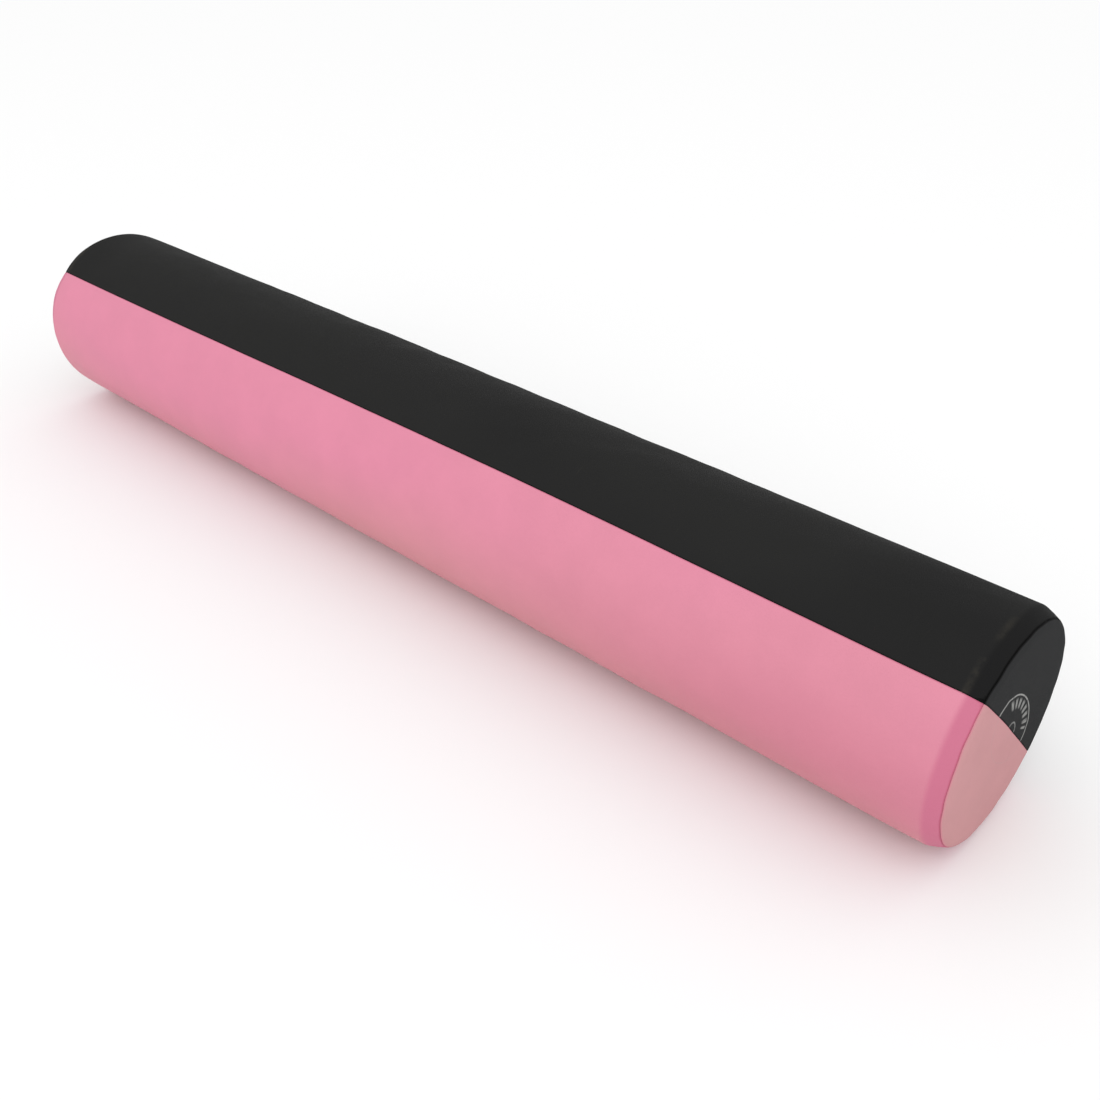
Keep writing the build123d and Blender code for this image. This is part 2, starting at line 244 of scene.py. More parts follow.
rim_round = (RIM_WIDTH**2 + RIM_RISE**2) / (2 * RIM_RISE)
rim_turn = asin(RIM_WIDTH / rim_round)
dome_radius = SEAM_RADIUS - RIM_WIDTH
end_corners = [
    (SEAM_X + CROWN - (CROWN - RIM_RISE) * (r / dome_radius) ** 2, r)
    for r in np.linspace(0, dome_radius, 25)
]
end_corners += [
    (SEAM_X + RIM_RISE - rim_round * (1 - cos(t)), dome_radius + rim_round * sin(t))
    for t in rim_turn * np.array((0.2, 0.4, 0.6, 0.76))
]
end_corners += [seam_corner + ACROSS_SEAM * SEAM_GAP]
end_corners += [seam_corner + ACROSS_SEAM * SEAM_GAP + INTO_SEAM * TAIL]
end_radii = [0] * (len(end_corners) - 3) + [SEAM_ROUND]
end_half = rounded_path(end_corners, end_radii)
print("outline points:", len(body_half), "on half the body,", len(end_half), "on an end")


# %% [markdown]
# Each outline also needs its own outward direction, for thickness and for swelling, and its distance
# from the seam. What is turned in past the seam counts as lying at the seam, so it moves with it.

# %% Distances from the seam, and outward directions
def outline_facts(line, seam_first):
    """Distance from the seam along an outline, and its outward direction at each point."""
    steps = np.linalg.norm(np.diff(line, axis=0), axis=1)
    travelled = np.concatenate([[0], np.cumsum(steps)])
    at_seam = np.interp(seam_first, [0, 1], [0, travelled[-1] - TAIL])
    tangent = np.gradient(line, axis=0)
    tangent /= np.linalg.norm(tangent, axis=1)[:, None]
    return np.maximum(at_seam - travelled, 0), tangent


body_from_seam, body_tangent = outline_facts(body_half, 1)
end_from_seam, end_tangent = outline_facts(end_half, 1)
body_normal = np.stack([-body_tangent[:, 1], body_tangent[:, 0]], axis=1)
end_normal = np.stack([end_tangent[:, 1], -end_tangent[:, 0]], axis=1)
HALF_BODY = body_from_seam[0]
END_REACH = end_from_seam[0]
print(f"cover from seam to seam {2 * HALF_BODY:.4f}, from an end's middle to its seam {END_REACH:.4f}")

# %% [markdown]
# ## How the cover swells
#
# A tight cover over foam isn't a perfect tube. The foam pushes the cloth out a little between the
# seams, and the thread draws the cloth together along them, which leaves small puckers. This could
# be painted on as a bump, but then the outline would stay ruler-straight. A cloth simulation gives
# both: a closed blank of the whole cover is blown up gently while its seams shrink unevenly, and
# how far each place moved is kept. Every panel then reads its own part of that one result, so
# neighbours still meet at their seams.

# %% The blank
AROUND = 144
blank_s = np.concatenate([
    -np.linspace(END_REACH, 0.010, 12),
    -np.array((0.007, 0.0045, 0.0022)),
    np.array((0.0, 0.003, 0.006, 0.009, 0.012, 0.016, 0.021)),
    np.linspace(0.028, HALF_BODY, 72),
])
blank_x = np.where(
    blank_s < 0,
    np.interp(-blank_s, end_from_seam[::-1], end_half[::-1, 0]),
    np.interp(blank_s, body_from_seam[::-1], body_half[::-1, 0]),
)
blank_r = np.where(
    blank_s < 0,
    np.interp(-blank_s, end_from_seam[::-1], end_half[::-1, 1]),
    np.interp(blank_s, body_from_seam[::-1], body_half[::-1, 1]),
)
all_s = np.concatenate([blank_s, (2 * HALF_BODY - blank_s)[-2::-1]])
all_x = np.concatenate([blank_x, -blank_x[-2::-1]])
all_r = np.concatenate([blank_r, blank_r[-2::-1]])
ring_angle = np.arange(AROUND) * 2 * pi / AROUND
print("blank:", len(all_s), "rings of", AROUND, "points")


# %% [markdown]
# The swelling needs a direction at every ring: straight away from the axis on the body, straight
# out of the disc at the ends, and in between at the seam.

# %% Direction of swelling
slope = np.stack([np.gradient(all_x), np.gradient(all_r)], axis=1)
swell_turn = np.unwrap(np.arctan2(-slope[:, 0], slope[:, 1]))
for _ in range(3):
    swell_turn[1:-1] = (swell_turn[:-2] + 2 * swell_turn[1:-1] + swell_turn[2:]) / 4


def swell_direction(s, angle):
    """Unit directions of swelling at places on the cover."""
    turn = np.interp(s, all_s, swell_turn)
    return np.cos(turn)[..., None] * along + np.sin(turn)[..., None] * outwards(angle)


# %% [markdown]
# The simulation starts from the blank with a seeded unevenness of its sewing, and no gravity. It runs
# twenty steps. A cap keeps any point from moving further than a real cover would.

# %% Blow up the blank
SWELL_CAP = 0.0016
SIM_STEPS = 20
DRAWN_END = 0.004  # how far from an end seam the thread draws the cloth in
DRAWN_LONG = 0.55  # share of that draw along the two long seams
sewing_chance = np.random.default_rng(11)


def blank_object():
    """The closed blank as a mesh, with a vertex group that says how much the sewing draws in."""
    rings = len(all_s) - 2
    places = (
        all_x[1:-1, None, None] * along
        + axis_point
        + all_r[1:-1, None, None] * outwards(np.broadcast_to(ring_angle, (rings, AROUND)))
    )
    points = [tuple(p) for p in places.reshape(-1, 3)]
    points += [(all_x[0], 0, AXIS_Z), (all_x[-1], 0, AXIS_Z)]
    faces = []
    for i in range(rings - 1):
        for j in range(AROUND):
            k = (j + 1) % AROUND
            a, b = i * AROUND, (i + 1) * AROUND
            faces.append((a + j, b + j, b + k, a + k))
    for j in range(AROUND):
        k = (j + 1) % AROUND
        last = (rings - 1) * AROUND
        faces.append((rings * AROUND, j, k))
        faces.append((rings * AROUND + 1, last + k, last + j))
    mesh = bpy.data.meshes.new("blank")
    mesh.from_pydata(points, [], faces)
    blank = bpy.data.objects.new("blank", mesh)
    scene.collection.objects.link(blank)
    sewn = blank.vertex_groups.new(name="sewn")
    near_end = np.minimum(abs(all_s[1:-1]), abs(2 * HALF_BODY - all_s[1:-1]))
    for i in range(rings):
        at_end = float(np.exp(-((near_end[i] / DRAWN_END) ** 2)))
        draw = sewing_chance.uniform(0.35, 1.0, AROUND)
        for j in range(AROUND):
            at_long = DRAWN_LONG if j in (0, AROUND // 2) else 0.0
            weight = max(at_end, at_long) * draw[j]
            if weight > 0.02:
                sewn.add([i * AROUND + j], float(weight), "REPLACE")
    return blank


def blown_up():
    """How far the simulated blank moved along the direction of swelling, ring by ring."""
    blank = blank_object()
    start = np.zeros(len(blank.data.vertices) * 3)
    blank.data.vertices.foreach_get("co", start)
    cloth = blank.modifiers.new("cloth", "CLOTH")
    cloth.settings.quality = 5
    cloth.settings.mass = 0.4
    cloth.settings.tension_stiffness = 40
    cloth.settings.compression_stiffness = 40
    cloth.settings.shear_stiffness = 12
    cloth.settings.bending_stiffness = 2.0
    cloth.settings.use_pressure = True
    cloth.settings.uniform_pressure_force = 4.0
    cloth.settings.effector_weights.gravity = 0.0
    cloth.settings.vertex_group_shrink = "sewn"
    cloth.settings.shrink_min = 0.0
    cloth.settings.shrink_max = 0.05
    cloth.collision_settings.use_collision = False
    cloth.point_cache.frame_end = SIM_STEPS
    for step in range(1, SIM_STEPS + 1):
        scene.frame_set(step)
    settled = blank.evaluated_get(bpy.context.evaluated_depsgraph_get())
    end = np.zeros_like(start)
    settled.data.vertices.foreach_get("co", end)
    scene.frame_set(1)
    bpy.data.meshes.remove(blank.data)
    moved = (end - start).reshape(-1, 3)[: (len(all_s) - 2) * AROUND].reshape(-1, AROUND, 3)
    s, angle = np.meshgrid(all_s[1:-1], ring_angle, indexing="ij")
    out = (moved * swell_direction(s, angle)).sum(axis=2)
    out -= out.mean(axis=1)[:, None]
    spread = np.percentile(abs(out), 99.5)
    print(f"cloth moved by up to {abs(moved).max() * 1000:.1f} mm; unevenness {spread * 1000:.2f} mm")
    out = np.clip(out * min(1.0, SWELL_CAP / spread), -SWELL_CAP, SWELL_CAP)
    middle = np.zeros((1, AROUND))
    return np.concatenate([middle, out, middle])


swelling = blown_up()
print("swelling kept for", swelling.shape, "places")


# %% [markdown]
# Two slower shapes are added to it: a faint barrel, since the foam is fattest halfway between the
# ends, and a soft unevenness as wide as a hand. Close to the zip all of this fades away, because
# the zip's tapes hold the cover to its exact place.

# %% Read the swelling anywhere
BARREL = 0.0017
UNEVEN = 0.00010
CALM_END = 0.08  # near an end seam the unevenness fades
ZIP_CALM = (0.016, 0.050)  # from the zip, where the swelling begins and where it is whole
wave_chance = np.random.default_rng(12)
waves = [
    (
        wave_chance.integers(1, 5),
        wave_chance.integers(0, 5),
        wave_chance.uniform(0, 2 * pi),
        wave_chance.uniform(0.4, 1),
    )
    for _ in range(14)
]


def swell(s, angle):
    """How far the cover stands out of its pattern at places told by distance and angle."""
    turn = np.mod(angle, 2 * pi) / (2 * pi) * AROUND
    column = np.floor(turn).astype(int)
    part = turn - column
    row = np.interp(s, all_s, np.arange(len(all_s)))
    low = np.clip(np.floor(row).astype(int), 0, len(all_s) - 2)
    rise = row - low
    total = 0.0
    for i, weight_i in ((low, 1 - rise), (low + 1, rise)):
        for j, weight_j in ((column % AROUND, 1 - part), ((column + 1) % AROUND, part)):
            total = total + swelling[i, j] * weight_i * weight_j
    length = 2 * HALF_BODY
    on_body = smooth(s, 0.0, CALM_END) * smooth(length - s, 0.0, CALM_END)
    middle = np.clip(1 - (2 * s / length - 1) ** 2, 0, 1)
    slow = sum(
        w * np.cos(2 * pi * ks * s / length + ka * angle + phase) for ks, ka, phase, w in waves
    )
    total = total + BARREL * middle + UNEVEN * slow * (0.25 + 0.75 * on_body)
    from_zip = abs(abs(angle) - pi) * RADIUS
    return total * smooth(from_zip, *ZIP_CALM)


# %% [markdown]
# The front seam isn't dead straight either. Sewn by hand along a roll, it drifts a few millimetres one
# way and back. The seams round the ends waver too, by a quarter of a millimetre, because a machine
# can't follow so tight a curve evenly. And the beam's own weight flattens the strip that it lies on.

# %% Let the cover settle
WANDER = radians(1.25)
WAVER = 0.00013
WAVER_REACH = 0.007
FLOOR_SOFT = 0.0004


def settle(points, swell_s, swell_angle, directions):
    """Moves pattern points to where the finished cover has them."""
    points = points + directions * swell(swell_s, swell_angle)[..., None]
    t = np.clip((SEAM_X - points[..., 0]) / (2 * SEAM_X), 0, 1)
    drift = WANDER * np.sin(pi * (t - 0.08) / 0.58) * smooth(t, 0.0, 0.10)
    drift = drift * np.cos(swell_angle / 2) ** 2
    arm = points - axis_point
    in_front = (arm * front).sum(axis=-1)
    in_black = (arm * black).sum(axis=-1)
    turned = (
        (in_front * np.cos(drift) - in_black * np.sin(drift))[..., None] * front
        + (in_front * np.sin(drift) + in_black * np.cos(drift))[..., None] * black
    )
    from_end_seam = np.minimum(abs(swell_s), abs(2 * HALF_BODY - swell_s))
    waver = np.sin(9 * swell_angle + 1) + 0.8 * np.sin(16 * swell_angle + 4)
    waver = waver + 0.8 * np.sin(27 * swell_angle + 2)
    waver = waver * WAVER * np.exp(-((from_end_seam / WAVER_REACH) ** 2))
    points = axis_point + (points[..., 0] + waver)[..., None] * along + turned
    height = points[..., 2]
    points[..., 2] = (height + np.sqrt(height**2 + FLOOR_SOFT**2)) / 2
    return points


# %% [markdown]
# ## Sewing the panels
#
# A panel is a grid of points: rows across the roll, columns round it. At every sewn edge the cloth
# turns in and runs back under itself. Two such folds face to face make the fine line of a seam, and
# a pair held apart makes the slot for the zip. The fold is added to a grid's side as more columns,
# so one small helper sews every panel.
#
# Each point also keeps its distance from the nearest seam, which the vinyl's finish uses later for painted
# shade: the cloth is a touch darker in the crease.

# %% Helper: turn an edge in
FOLD = 0.0007
FOLD_STEPS = 7
UNDER = (0.0015, 0.0042)
HALF_GAP = 0.00002
FOLD_COLUMNS = FOLD_STEPS - 1 + len(UNDER)


def turned_in(edge, normal, side):
    """Columns that carry a panel's edge round its fold and back under the panel."""
    run = np.gradient(edge, axis=0)
    toward = np.cross(normal, run)
    length = np.linalg.norm(toward, axis=1)[:, None]
    toward = toward / np.maximum(length, 1e-9)
    toward *= np.sign((toward * black).sum(axis=1) * -side)[:, None]
    columns = []
    for turn in np.linspace(0, pi, FOLD_STEPS)[1:]:
        columns.append(edge + toward * FOLD * sin(turn) - normal * FOLD * (1 - cos(turn)))
    for back in UNDER:
        columns.append(edge - toward * back - normal * 2 * FOLD)
    return columns


def with_folds(points, normal, side):
    """A grid of points with the folds of both of its side edges added as columns."""
    first = turned_in(points[:, 0], normal[:, 0], side)[::-1]
    last = turned_in(points[:, -1], normal[:, -1], side)
    return np.concatenate([np.stack(first, 1), points, np.stack(last, 1)], axis=1)


def widened(grid):
    """A grid of facts about points, made as wide as with_folds makes the points."""
    first = np.repeat(grid[:, :1], FOLD_COLUMNS, 1)
    last = np.repeat(grid[:, -1:], FOLD_COLUMNS, 1)
    return np.concatenate([first, grid, last], axis=1)


# %% Helper: merge doubles
def merge_doubles(mesh):
    """Joins points that lie on each other, such as those at the middle of a disc."""
    work = bmesh.new()
    work.from_mesh(mesh)
    bmesh.ops.remove_doubles(work, verts=work.verts, dist=2e-6)
    work.to_mesh(mesh)
    work.free()


# %% Helper: a grid becomes a panel
def panel_object(name, points, outside, seam_distance):
    """A mesh object from a grid of points, facing the way that outside gives for each point."""
    rows, columns = points.shape[:2]
    index = np.arange(rows * columns).reshape(rows, columns)
    faces = np.stack(
        [index[:-1, :-1], index[1:, :-1], index[1:, 1:], index[:-1, 1:]], axis=-1
    ).reshape(-1, 4)
    middle = (rows // 2, columns // 2)
    step_row = points[middle[0] + 1, middle[1]] - points[middle]
    step_column = points[middle[0], middle[1] + 1] - points[middle]
    if np.cross(step_row, step_column) @ outside[middle] < 0:
        faces = faces[:, ::-1]
    mesh = bpy.data.meshes.new(name)
    mesh.from_pydata([tuple(p) for p in points.reshape(-1, 3)], [], [tuple(f) for f in faces])
    layer = mesh.attributes.new("from_seam", "FLOAT", "POINT")
    layer.data.foreach_set("value", seam_distance.reshape(-1).astype(np.float32))
    merge_doubles(mesh)
    mesh.shade_smooth()
    panel = bpy.data.objects.new(name, mesh)
    scene.collection.objects.link(panel)
    return panel


# %% [markdown]
# The vinyl has a thickness of its own, which shows at the zip's slot and gives the folds their body.
# A Solidify modifier adds it on the inside, so the outside keeps its measured size.

# %% Helper: finish a panel
VINYL = 0.00062


def finish_panel(panel, stands_for):
    """Gives a panel its thickness, sets it on the roll and hides the plain part that it stands for."""
    wall = panel.modifiers.new("thickness", "SOLIDIFY")
    wall.thickness = VINYL
    wall.offset = -1.0
    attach(panel, "roll")
    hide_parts(stands_for)
    print(panel.name, len(panel.data.polygons), "faces")


# %% [markdown]
# ## The body panels
#
# One black and one pink panel go half way round each. Their columns run from the front seam to the
# back seam, and beside the zip they stop short, so the slot stays open. Where the slot ends, the
# edges close up within a few millimetres and the back seam goes on as a plain one to the end.

# %% Sew the body panels
SLOT_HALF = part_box("zip_top_stops")[1].x
SLOT_EDGE = 0.0055  # from the middle of the slot to its edge
SLOT_CLOSING = 0.004  # the stretch in which the slot closes
SLOT_FINER = 0.010  # the outline gets more points this near to where it closes
COLUMNS = 120

outline = np.concatenate([body_half[:0:-1] * (-1, 1), body_half])
outline_normal = np.concatenate([body_normal[:0:-1] * (-1, 1), body_normal])
outline_s = np.concatenate([(2 * HALF_BODY - body_from_seam)[:0:-1], body_from_seam])


def refine(values, at):
    """Reads a column of the outline at more places than it has."""
    return np.interp(at, np.arange(len(values)), values)


station = np.arange(len(outline), dtype=float)
near_slot_end = abs(abs(outline[:, 0]) - SLOT_HALF - SLOT_CLOSING / 2) < SLOT_FINER
extra = [station[i] + f for i in np.flatnonzero(near_slot_end) for f in (0.2, 0.4, 0.6, 0.8)]
station = np.unique(np.concatenate([station, extra]))
path_x = refine(outline[:, 0], station)
path_r = refine(outline[:, 1], station)
path_s = refine(outline_s, station)
path_nx = refine(outline_normal[:, 0], station)
path_nr = refine(outline_normal[:, 1], station)


def body_panel(name, side):
    """The black panel with side 1, or the pink one with side -1."""
    plain = (FOLD + HALF_GAP) / RADIUS
    at_slot = (SLOT_EDGE + FOLD) / RADIUS
    open_part = 1 - smooth(abs(path_x), SLOT_HALF, SLOT_HALF + SLOT_CLOSING)
    back = plain + (at_slot - plain) * open_part
    share = np.linspace(0, 1, COLUMNS + 1)
    angle = plain + share[None, :] * (pi - back - plain)[:, None]
    angle = side * angle
    shape = angle.shape
    out = outwards(angle)
    points = axis_point + path_x[:, None, None] * along + path_r[:, None, None] * out
    normal = path_nx[:, None, None] * along + path_nr[:, None, None] * out
    s = np.broadcast_to(path_s[:, None], shape)
    seam = np.minimum(path_r[:, None] * np.minimum(abs(angle), pi - abs(angle)), s)
    seam = np.minimum(seam, 2 * HALF_BODY - s)
    points = with_folds(points, normal, side)
    angle, s, seam, normal = widened(angle), widened(s), widened(seam), widened(normal)
    hidden = FOLD_COLUMNS - 2
    seam[:, :hidden] = 0
    seam[:, -hidden:] = 0
    points = settle(points, s, angle, swell_direction(s, angle))
    return panel_object(name, points, normal, np.clip(seam, 0, None))


black_body = body_panel("black_body_cover", 1)
pink_body = body_panel("pink_body_cover", -1)
print("body panels of", len(black_body.data.polygons), "faces each")

# %% [markdown]
# ## The end panels
#
# Each end is two half-discs sewn together across the middle. A half-disc is a grid too, with rows
# that are half circles. They shrink to one point on the straight seam, where the folds of both
# halves of the edge meet. The rows lie a fold's width off the seam's plane, so the two half-discs
# meet face to face.
#
# The two halves are sewn to each other first and then set into the end, and nobody hits the back
# seam exactly. So the seam across the right end slips about five degrees round the rim at its
# back, and the left end's slips a little the other way.

# %% Sew the end panels
END_COLUMNS = 110
SLIP = {1: radians(5.0), -1: radians(-2.0)}


def slipped(line, angle, slip):
    """Turns the back of an end's middle seam round the rim, and keeps the seam straight."""
    turn = slip * (1 - np.cos(angle)) / 2
    middle = SEAM_RADIUS * sin(slip / 2) * outwards(np.array(pi / 2 - slip / 2))
    inward = np.clip(1 - line / SEAM_RADIUS, 0, 1)
    return angle - turn, inward * middle


def end_panel(name, side, end):
    """A half-disc: side 1 is black and -1 pink, end 1 is the right end and -1 the left."""
    offset = FOLD + HALF_GAP
    r = end_half[:, 1]
    reach = np.sqrt(r**2 + offset**2)
    margin = np.arctan2(offset, np.maximum(r, 0))
    share = np.linspace(0, 1, END_COLUMNS + 1)
    angle = side * (margin[:, None] + share[None, :] * (pi - 2 * margin)[:, None])
    seam = np.minimum(end_from_seam[:, None], abs(reach[:, None] * np.sin(angle)))
    angle, shift = slipped(reach[:, None, None], angle[..., None], SLIP[end])
    angle = angle[..., 0]
    out = outwards(angle)
    turned = np.array((end, 0.0, 0.0))
    points = axis_point + end_half[:, :1, None] * turned + reach[:, None, None] * out + shift
    normal = end_normal[:, :1, None] * turned + end_normal[:, 1:, None] * out
    s = np.broadcast_to(-end_from_seam[:, None], angle.shape)
    if end < 0:
        s = 2 * HALF_BODY - s
    points = with_folds(points, normal, side)
    angle, s, seam, normal = widened(angle), widened(s), widened(seam), widened(normal)
    points = settle(points, s, angle, swell_direction(s, angle))
    return panel_object(name, points, normal, np.clip(seam, 0, None))


ends = {
    "right_end_black": end_panel("right_end_black_cover", 1, 1),
    "right_end_pink": end_panel("right_end_pink_cover", -1, 1),
    "left_end_black": end_panel("left_end_black_cover", 1, -1),
    "left_end_pink": end_panel("left_end_pink_cover", -1, -1),
}
print("sewn:", black_body.name, pink_body.name, *ends)

# %% [markdown]
# ## Helpers for finishes
#
# A finish is a small network of nodes. Most of it comes from a few effects that several finishes
# share, so each effect is a group with named inputs and outputs, built once. One helper places a
# node and joins or sets its inputs in the same line, which keeps the networks readable.

# %% Helpers: nodes, groups and materials
def place(tree, kind, inputs=None, **settings):
    """Adds a node, sets its options, and joins or sets its inputs."""
    node = tree.nodes.new(kind)
    for key, value in settings.items():
        setattr(node, key, value)
    for key, value in (inputs or {}).items():
        if isinstance(value, bpy.types.NodeSocket):
            tree.links.new(value, node.inputs[key])
        else:
            node.inputs[key].default_value = value
    return node


def calc(tree, operation, a, b=0.0, c=0.0, clamp=False):
    """One sum on numbers, as an output socket."""
    node = place(tree, "ShaderNodeMath", {0: a, 1: b, 2: c}, operation=operation, use_clamp=clamp)
    return node.outputs[0]


def fade(tree, value, low, high):
    """Goes softly from 0 at low to 1 at high."""
    node = place(
        tree,
        "ShaderNodeMapRange",
        {"Value": value, "From Min": low, "From Max": high},
        interpolation_type="SMOOTHSTEP",
    )
    return node.outputs["Result"]


def blend_colour(tree, amount, first, second, kind="MIX"):
    """Two colours mixed by an amount."""
    node = place(tree, "ShaderNodeMix", data_type="RGBA", blend_type=kind)
    for socket, value in ((node.inputs[0], amount), (node.inputs[6], first), (node.inputs[7], second)):
        if isinstance(value, bpy.types.NodeSocket):
            tree.links.new(value, socket)
        else:
            socket.default_value = value
    return node.outputs[2]


def new_group(name, inputs, outputs):
    """A shader group with named inputs, each with its usual value, and named outputs."""
    group = bpy.data.node_groups.new(name, "ShaderNodeTree")
    for title, value in inputs.items():
        kind = "NodeSocketVector" if value is None else "NodeSocketFloat"
        socket = group.interface.new_socket(title, in_out="INPUT", socket_type=kind)
        if value is not None:
            socket.default_value = value
    for title in outputs:
        group.interface.new_socket(title, in_out="OUTPUT", socket_type="NodeSocketFloat")
    return group, group.nodes.new("NodeGroupInput").outputs, group.nodes.new("NodeGroupOutput").inputs


def use_group(tree, group, inputs):
    """Places a group in a material with its own values."""
    node = tree.nodes.new("ShaderNodeGroup")
    node.node_tree = group
    for key, value in inputs.items():
        if isinstance(value, bpy.types.NodeSocket):
            tree.links.new(value, node.inputs[key])
        else:
            node.inputs[key].default_value = value
    return node.outputs


def new_material(name, roughness_ior=(0.5, 1.5), specular=0.5):
    """A material with its shader, and a socket for the place on the object."""
    material = bpy.data.materials.new(name)
    material.use_nodes = True
    tree = material.node_tree
    shader = tree.nodes["Principled BSDF"]
    shader.inputs["Roughness"].default_value = roughness_ior[0]
    shader.inputs["IOR"].default_value = roughness_ior[1]
    shader.inputs["Specular IOR Level"].default_value = specular
    where = place(tree, "ShaderNodeTexCoord").outputs["Object"]
    return material, tree, shader, where


# %% [markdown]
# ### Grain
#
# Coated cloth is pressed with a fine grain, like leather: small pebbles under a millimetre across
# with creases between them. Two cell patterns of different size, bent by a noise, break up the
# regular look that one alone would have.

# %% Group: pressed grain
grain_group, given, made = new_group("pressed grain", {"Place": None, "Cells": 1150.0}, ["Height"])
tree = grain_group
bent = place(tree, "ShaderNodeTexNoise", {"Vector": given["Place"], "Scale": 260.0, "Detail": 2.0})
shift = place(
    tree,
    "ShaderNodeVectorMath",
    {0: bent.outputs["Color"], 1: (0.0011, 0.0011, 0.0011)},
    operation="MULTIPLY",
)
moved_place = place(
    tree, "ShaderNodeVectorMath", {0: given["Place"], 1: shift.outputs[0]}, operation="ADD"
)
pebbles = place(
    tree,
    "ShaderNodeTexVoronoi",
    {"Vector": moved_place.outputs[0], "Scale": given["Cells"], "Randomness": 0.9},
    feature="SMOOTH_F1",
)
fine = calc(tree, "MULTIPLY", given["Cells"], 2.3)
small = place(
    tree,
    "ShaderNodeTexVoronoi",
    {"Vector": moved_place.outputs[0], "Scale": fine},
    feature="F1",
)
height = calc(tree, "MULTIPLY", small.outputs["Distance"], 0.35)
height = calc(tree, "ADD", height, pebbles.outputs["Distance"])
tree.links.new(calc(tree, "SUBTRACT", 1.0, height), made["Height"])

# %% [markdown]
# ### Mottling
#
# No sheet of vinyl is one even colour. Handling, dust and the way it was rolled leave large soft
# patches, with smaller ones inside them. The group gives both, from 0 to 1.

# %% Group: mottling
mottle_group, given, made = new_group(
    "mottling", {"Place": None, "Patches": 5.0}, ["Large", "Small"]
)
tree = mottle_group
large = place(
    tree,
    "ShaderNodeTexNoise",
    {"Vector": given["Place"], "Scale": given["Patches"], "Detail": 1.0, "Roughness": 0.35},
)
tree.links.new(fade(tree, large.outputs["Fac"], 0.30, 0.70), made["Large"])
smaller = calc(tree, "MULTIPLY", given["Patches"], 7.0)
small = place(
    tree,
    "ShaderNodeTexNoise",
    {"Vector": given["Place"], "Scale": smaller, "Detail": 5.0, "Roughness": 0.55},
)
tree.links.new(fade(tree, small.outputs["Fac"], 0.25, 0.75), made["Small"])

# %% [markdown]
# ### Scuffs
#
# Shoes and floors leave short pale marks, all running much the same way. A noise stretched along
# the marks and cut off high leaves only its peaks. A second, wide noise decides where they gather.

# %% Group: scuffs
scuff_group, given, made = new_group("scuffs", {"Place": None, "Amount": 0.5}, ["Mask"])
tree = scuff_group
stretched = place(
    tree, "ShaderNodeMapping", {"Vector": given["Place"], "Scale": (420.0, 34.0, 34.0)}
)
marks = place(
    tree,
    "ShaderNodeTexNoise",
    {"Vector": stretched.outputs[0], "Scale": 1.0, "Detail": 4.0, "Roughness": 0.6},
)
gather = place(tree, "ShaderNodeTexNoise", {"Vector": given["Place"], "Scale": 17.0, "Detail": 2.0})
cut = calc(tree, "MULTIPLY_ADD", given["Amount"], -0.22, 0.72)
mask = fade(tree, marks.outputs["Fac"], cut, calc(tree, "ADD", cut, 0.16))
mask = calc(tree, "MULTIPLY", mask, fade(tree, gather.outputs["Fac"], 0.42, 0.62))
tree.links.new(mask, made["Mask"])

# %% [markdown]
# ### Painted shade in the crease at a seam
#
# Every panel carries its distance from the nearest seam as an attribute. In the last millimetre before a
# fold the colour darkens: painted shade in the crease.

# %% Group: painted shade in a seam crease
seam_shade_group, given, made = new_group("seam crease", {"Width": 0.0014}, ["Crease"])
tree = seam_shade_group
distance = place(tree, "ShaderNodeAttribute", attribute_name="from_seam").outputs["Fac"]
away = calc(tree, "DIVIDE", distance, given["Width"])
tree.links.new(calc(tree, "SUBTRACT", 1.0, fade(tree, away, 0.0, 1.0)), made["Crease"])

# %% [markdown]
# ### Round the axis
#
# Several patterns follow the roll: the stretched band at each end, the scuffed ridge and the print
# on the end face. They need to know how far a point is from the middle of the beam, its angle from
# the front seam, and its place on the end face. This group works these out from Object coordinates.

# %% Group: round the axis
round_group, given, made = new_group(
    "round the axis", {"Place": None}, ["Along", "Angle", "To Front", "To Black"]
)
tree = round_group
centred = place(
    tree,
    "ShaderNodeVectorMath",
    {0: given["Place"], 1: (0.0, 0.0, AXIS_Z)},
    operation="SUBTRACT",
).outputs[0]
to_front = place(
    tree, "ShaderNodeVectorMath", {0: centred, 1: tuple(TO_FRONT)}, operation="DOT_PRODUCT"
).outputs["Value"]
to_black = place(
    tree, "ShaderNodeVectorMath", {0: centred, 1: tuple(TO_BLACK)}, operation="DOT_PRODUCT"
).outputs["Value"]
tree.links.new(place(tree, "ShaderNodeSeparateXYZ", {0: given["Place"]}).outputs["X"], made["Along"])
tree.links.new(calc(tree, "ARCTAN2", to_black, to_front), made["Angle"])
tree.links.new(to_front, made["To Front"])
tree.links.new(to_black, made["To Black"])
print("shared effects:", [g.name for g in bpy.data.node_groups])

# %% [markdown]
# ## Black and pink vinyl
#
# Both colours are the same cloth, so one recipe makes both. It takes a lit upper colour and a shaded lower
# one, mottles between them, and goes over to the shaded one towards the bottom: painted shade. The black
# is nearly black but satin, so it must reflect little: a white studio would wash it out to grey. The pink
# goes from a clear pink high up to a duller rose low down, where it faces the floor: painted shade.

# %% Recipe for the vinyl
PATCHES = 3.2  # large patches to the metre
CREASE_WIDTH = 0.0014
SHADE_TOP = 2 * AXIS_Z * 0.86  # height where the shade of the low parts has gone


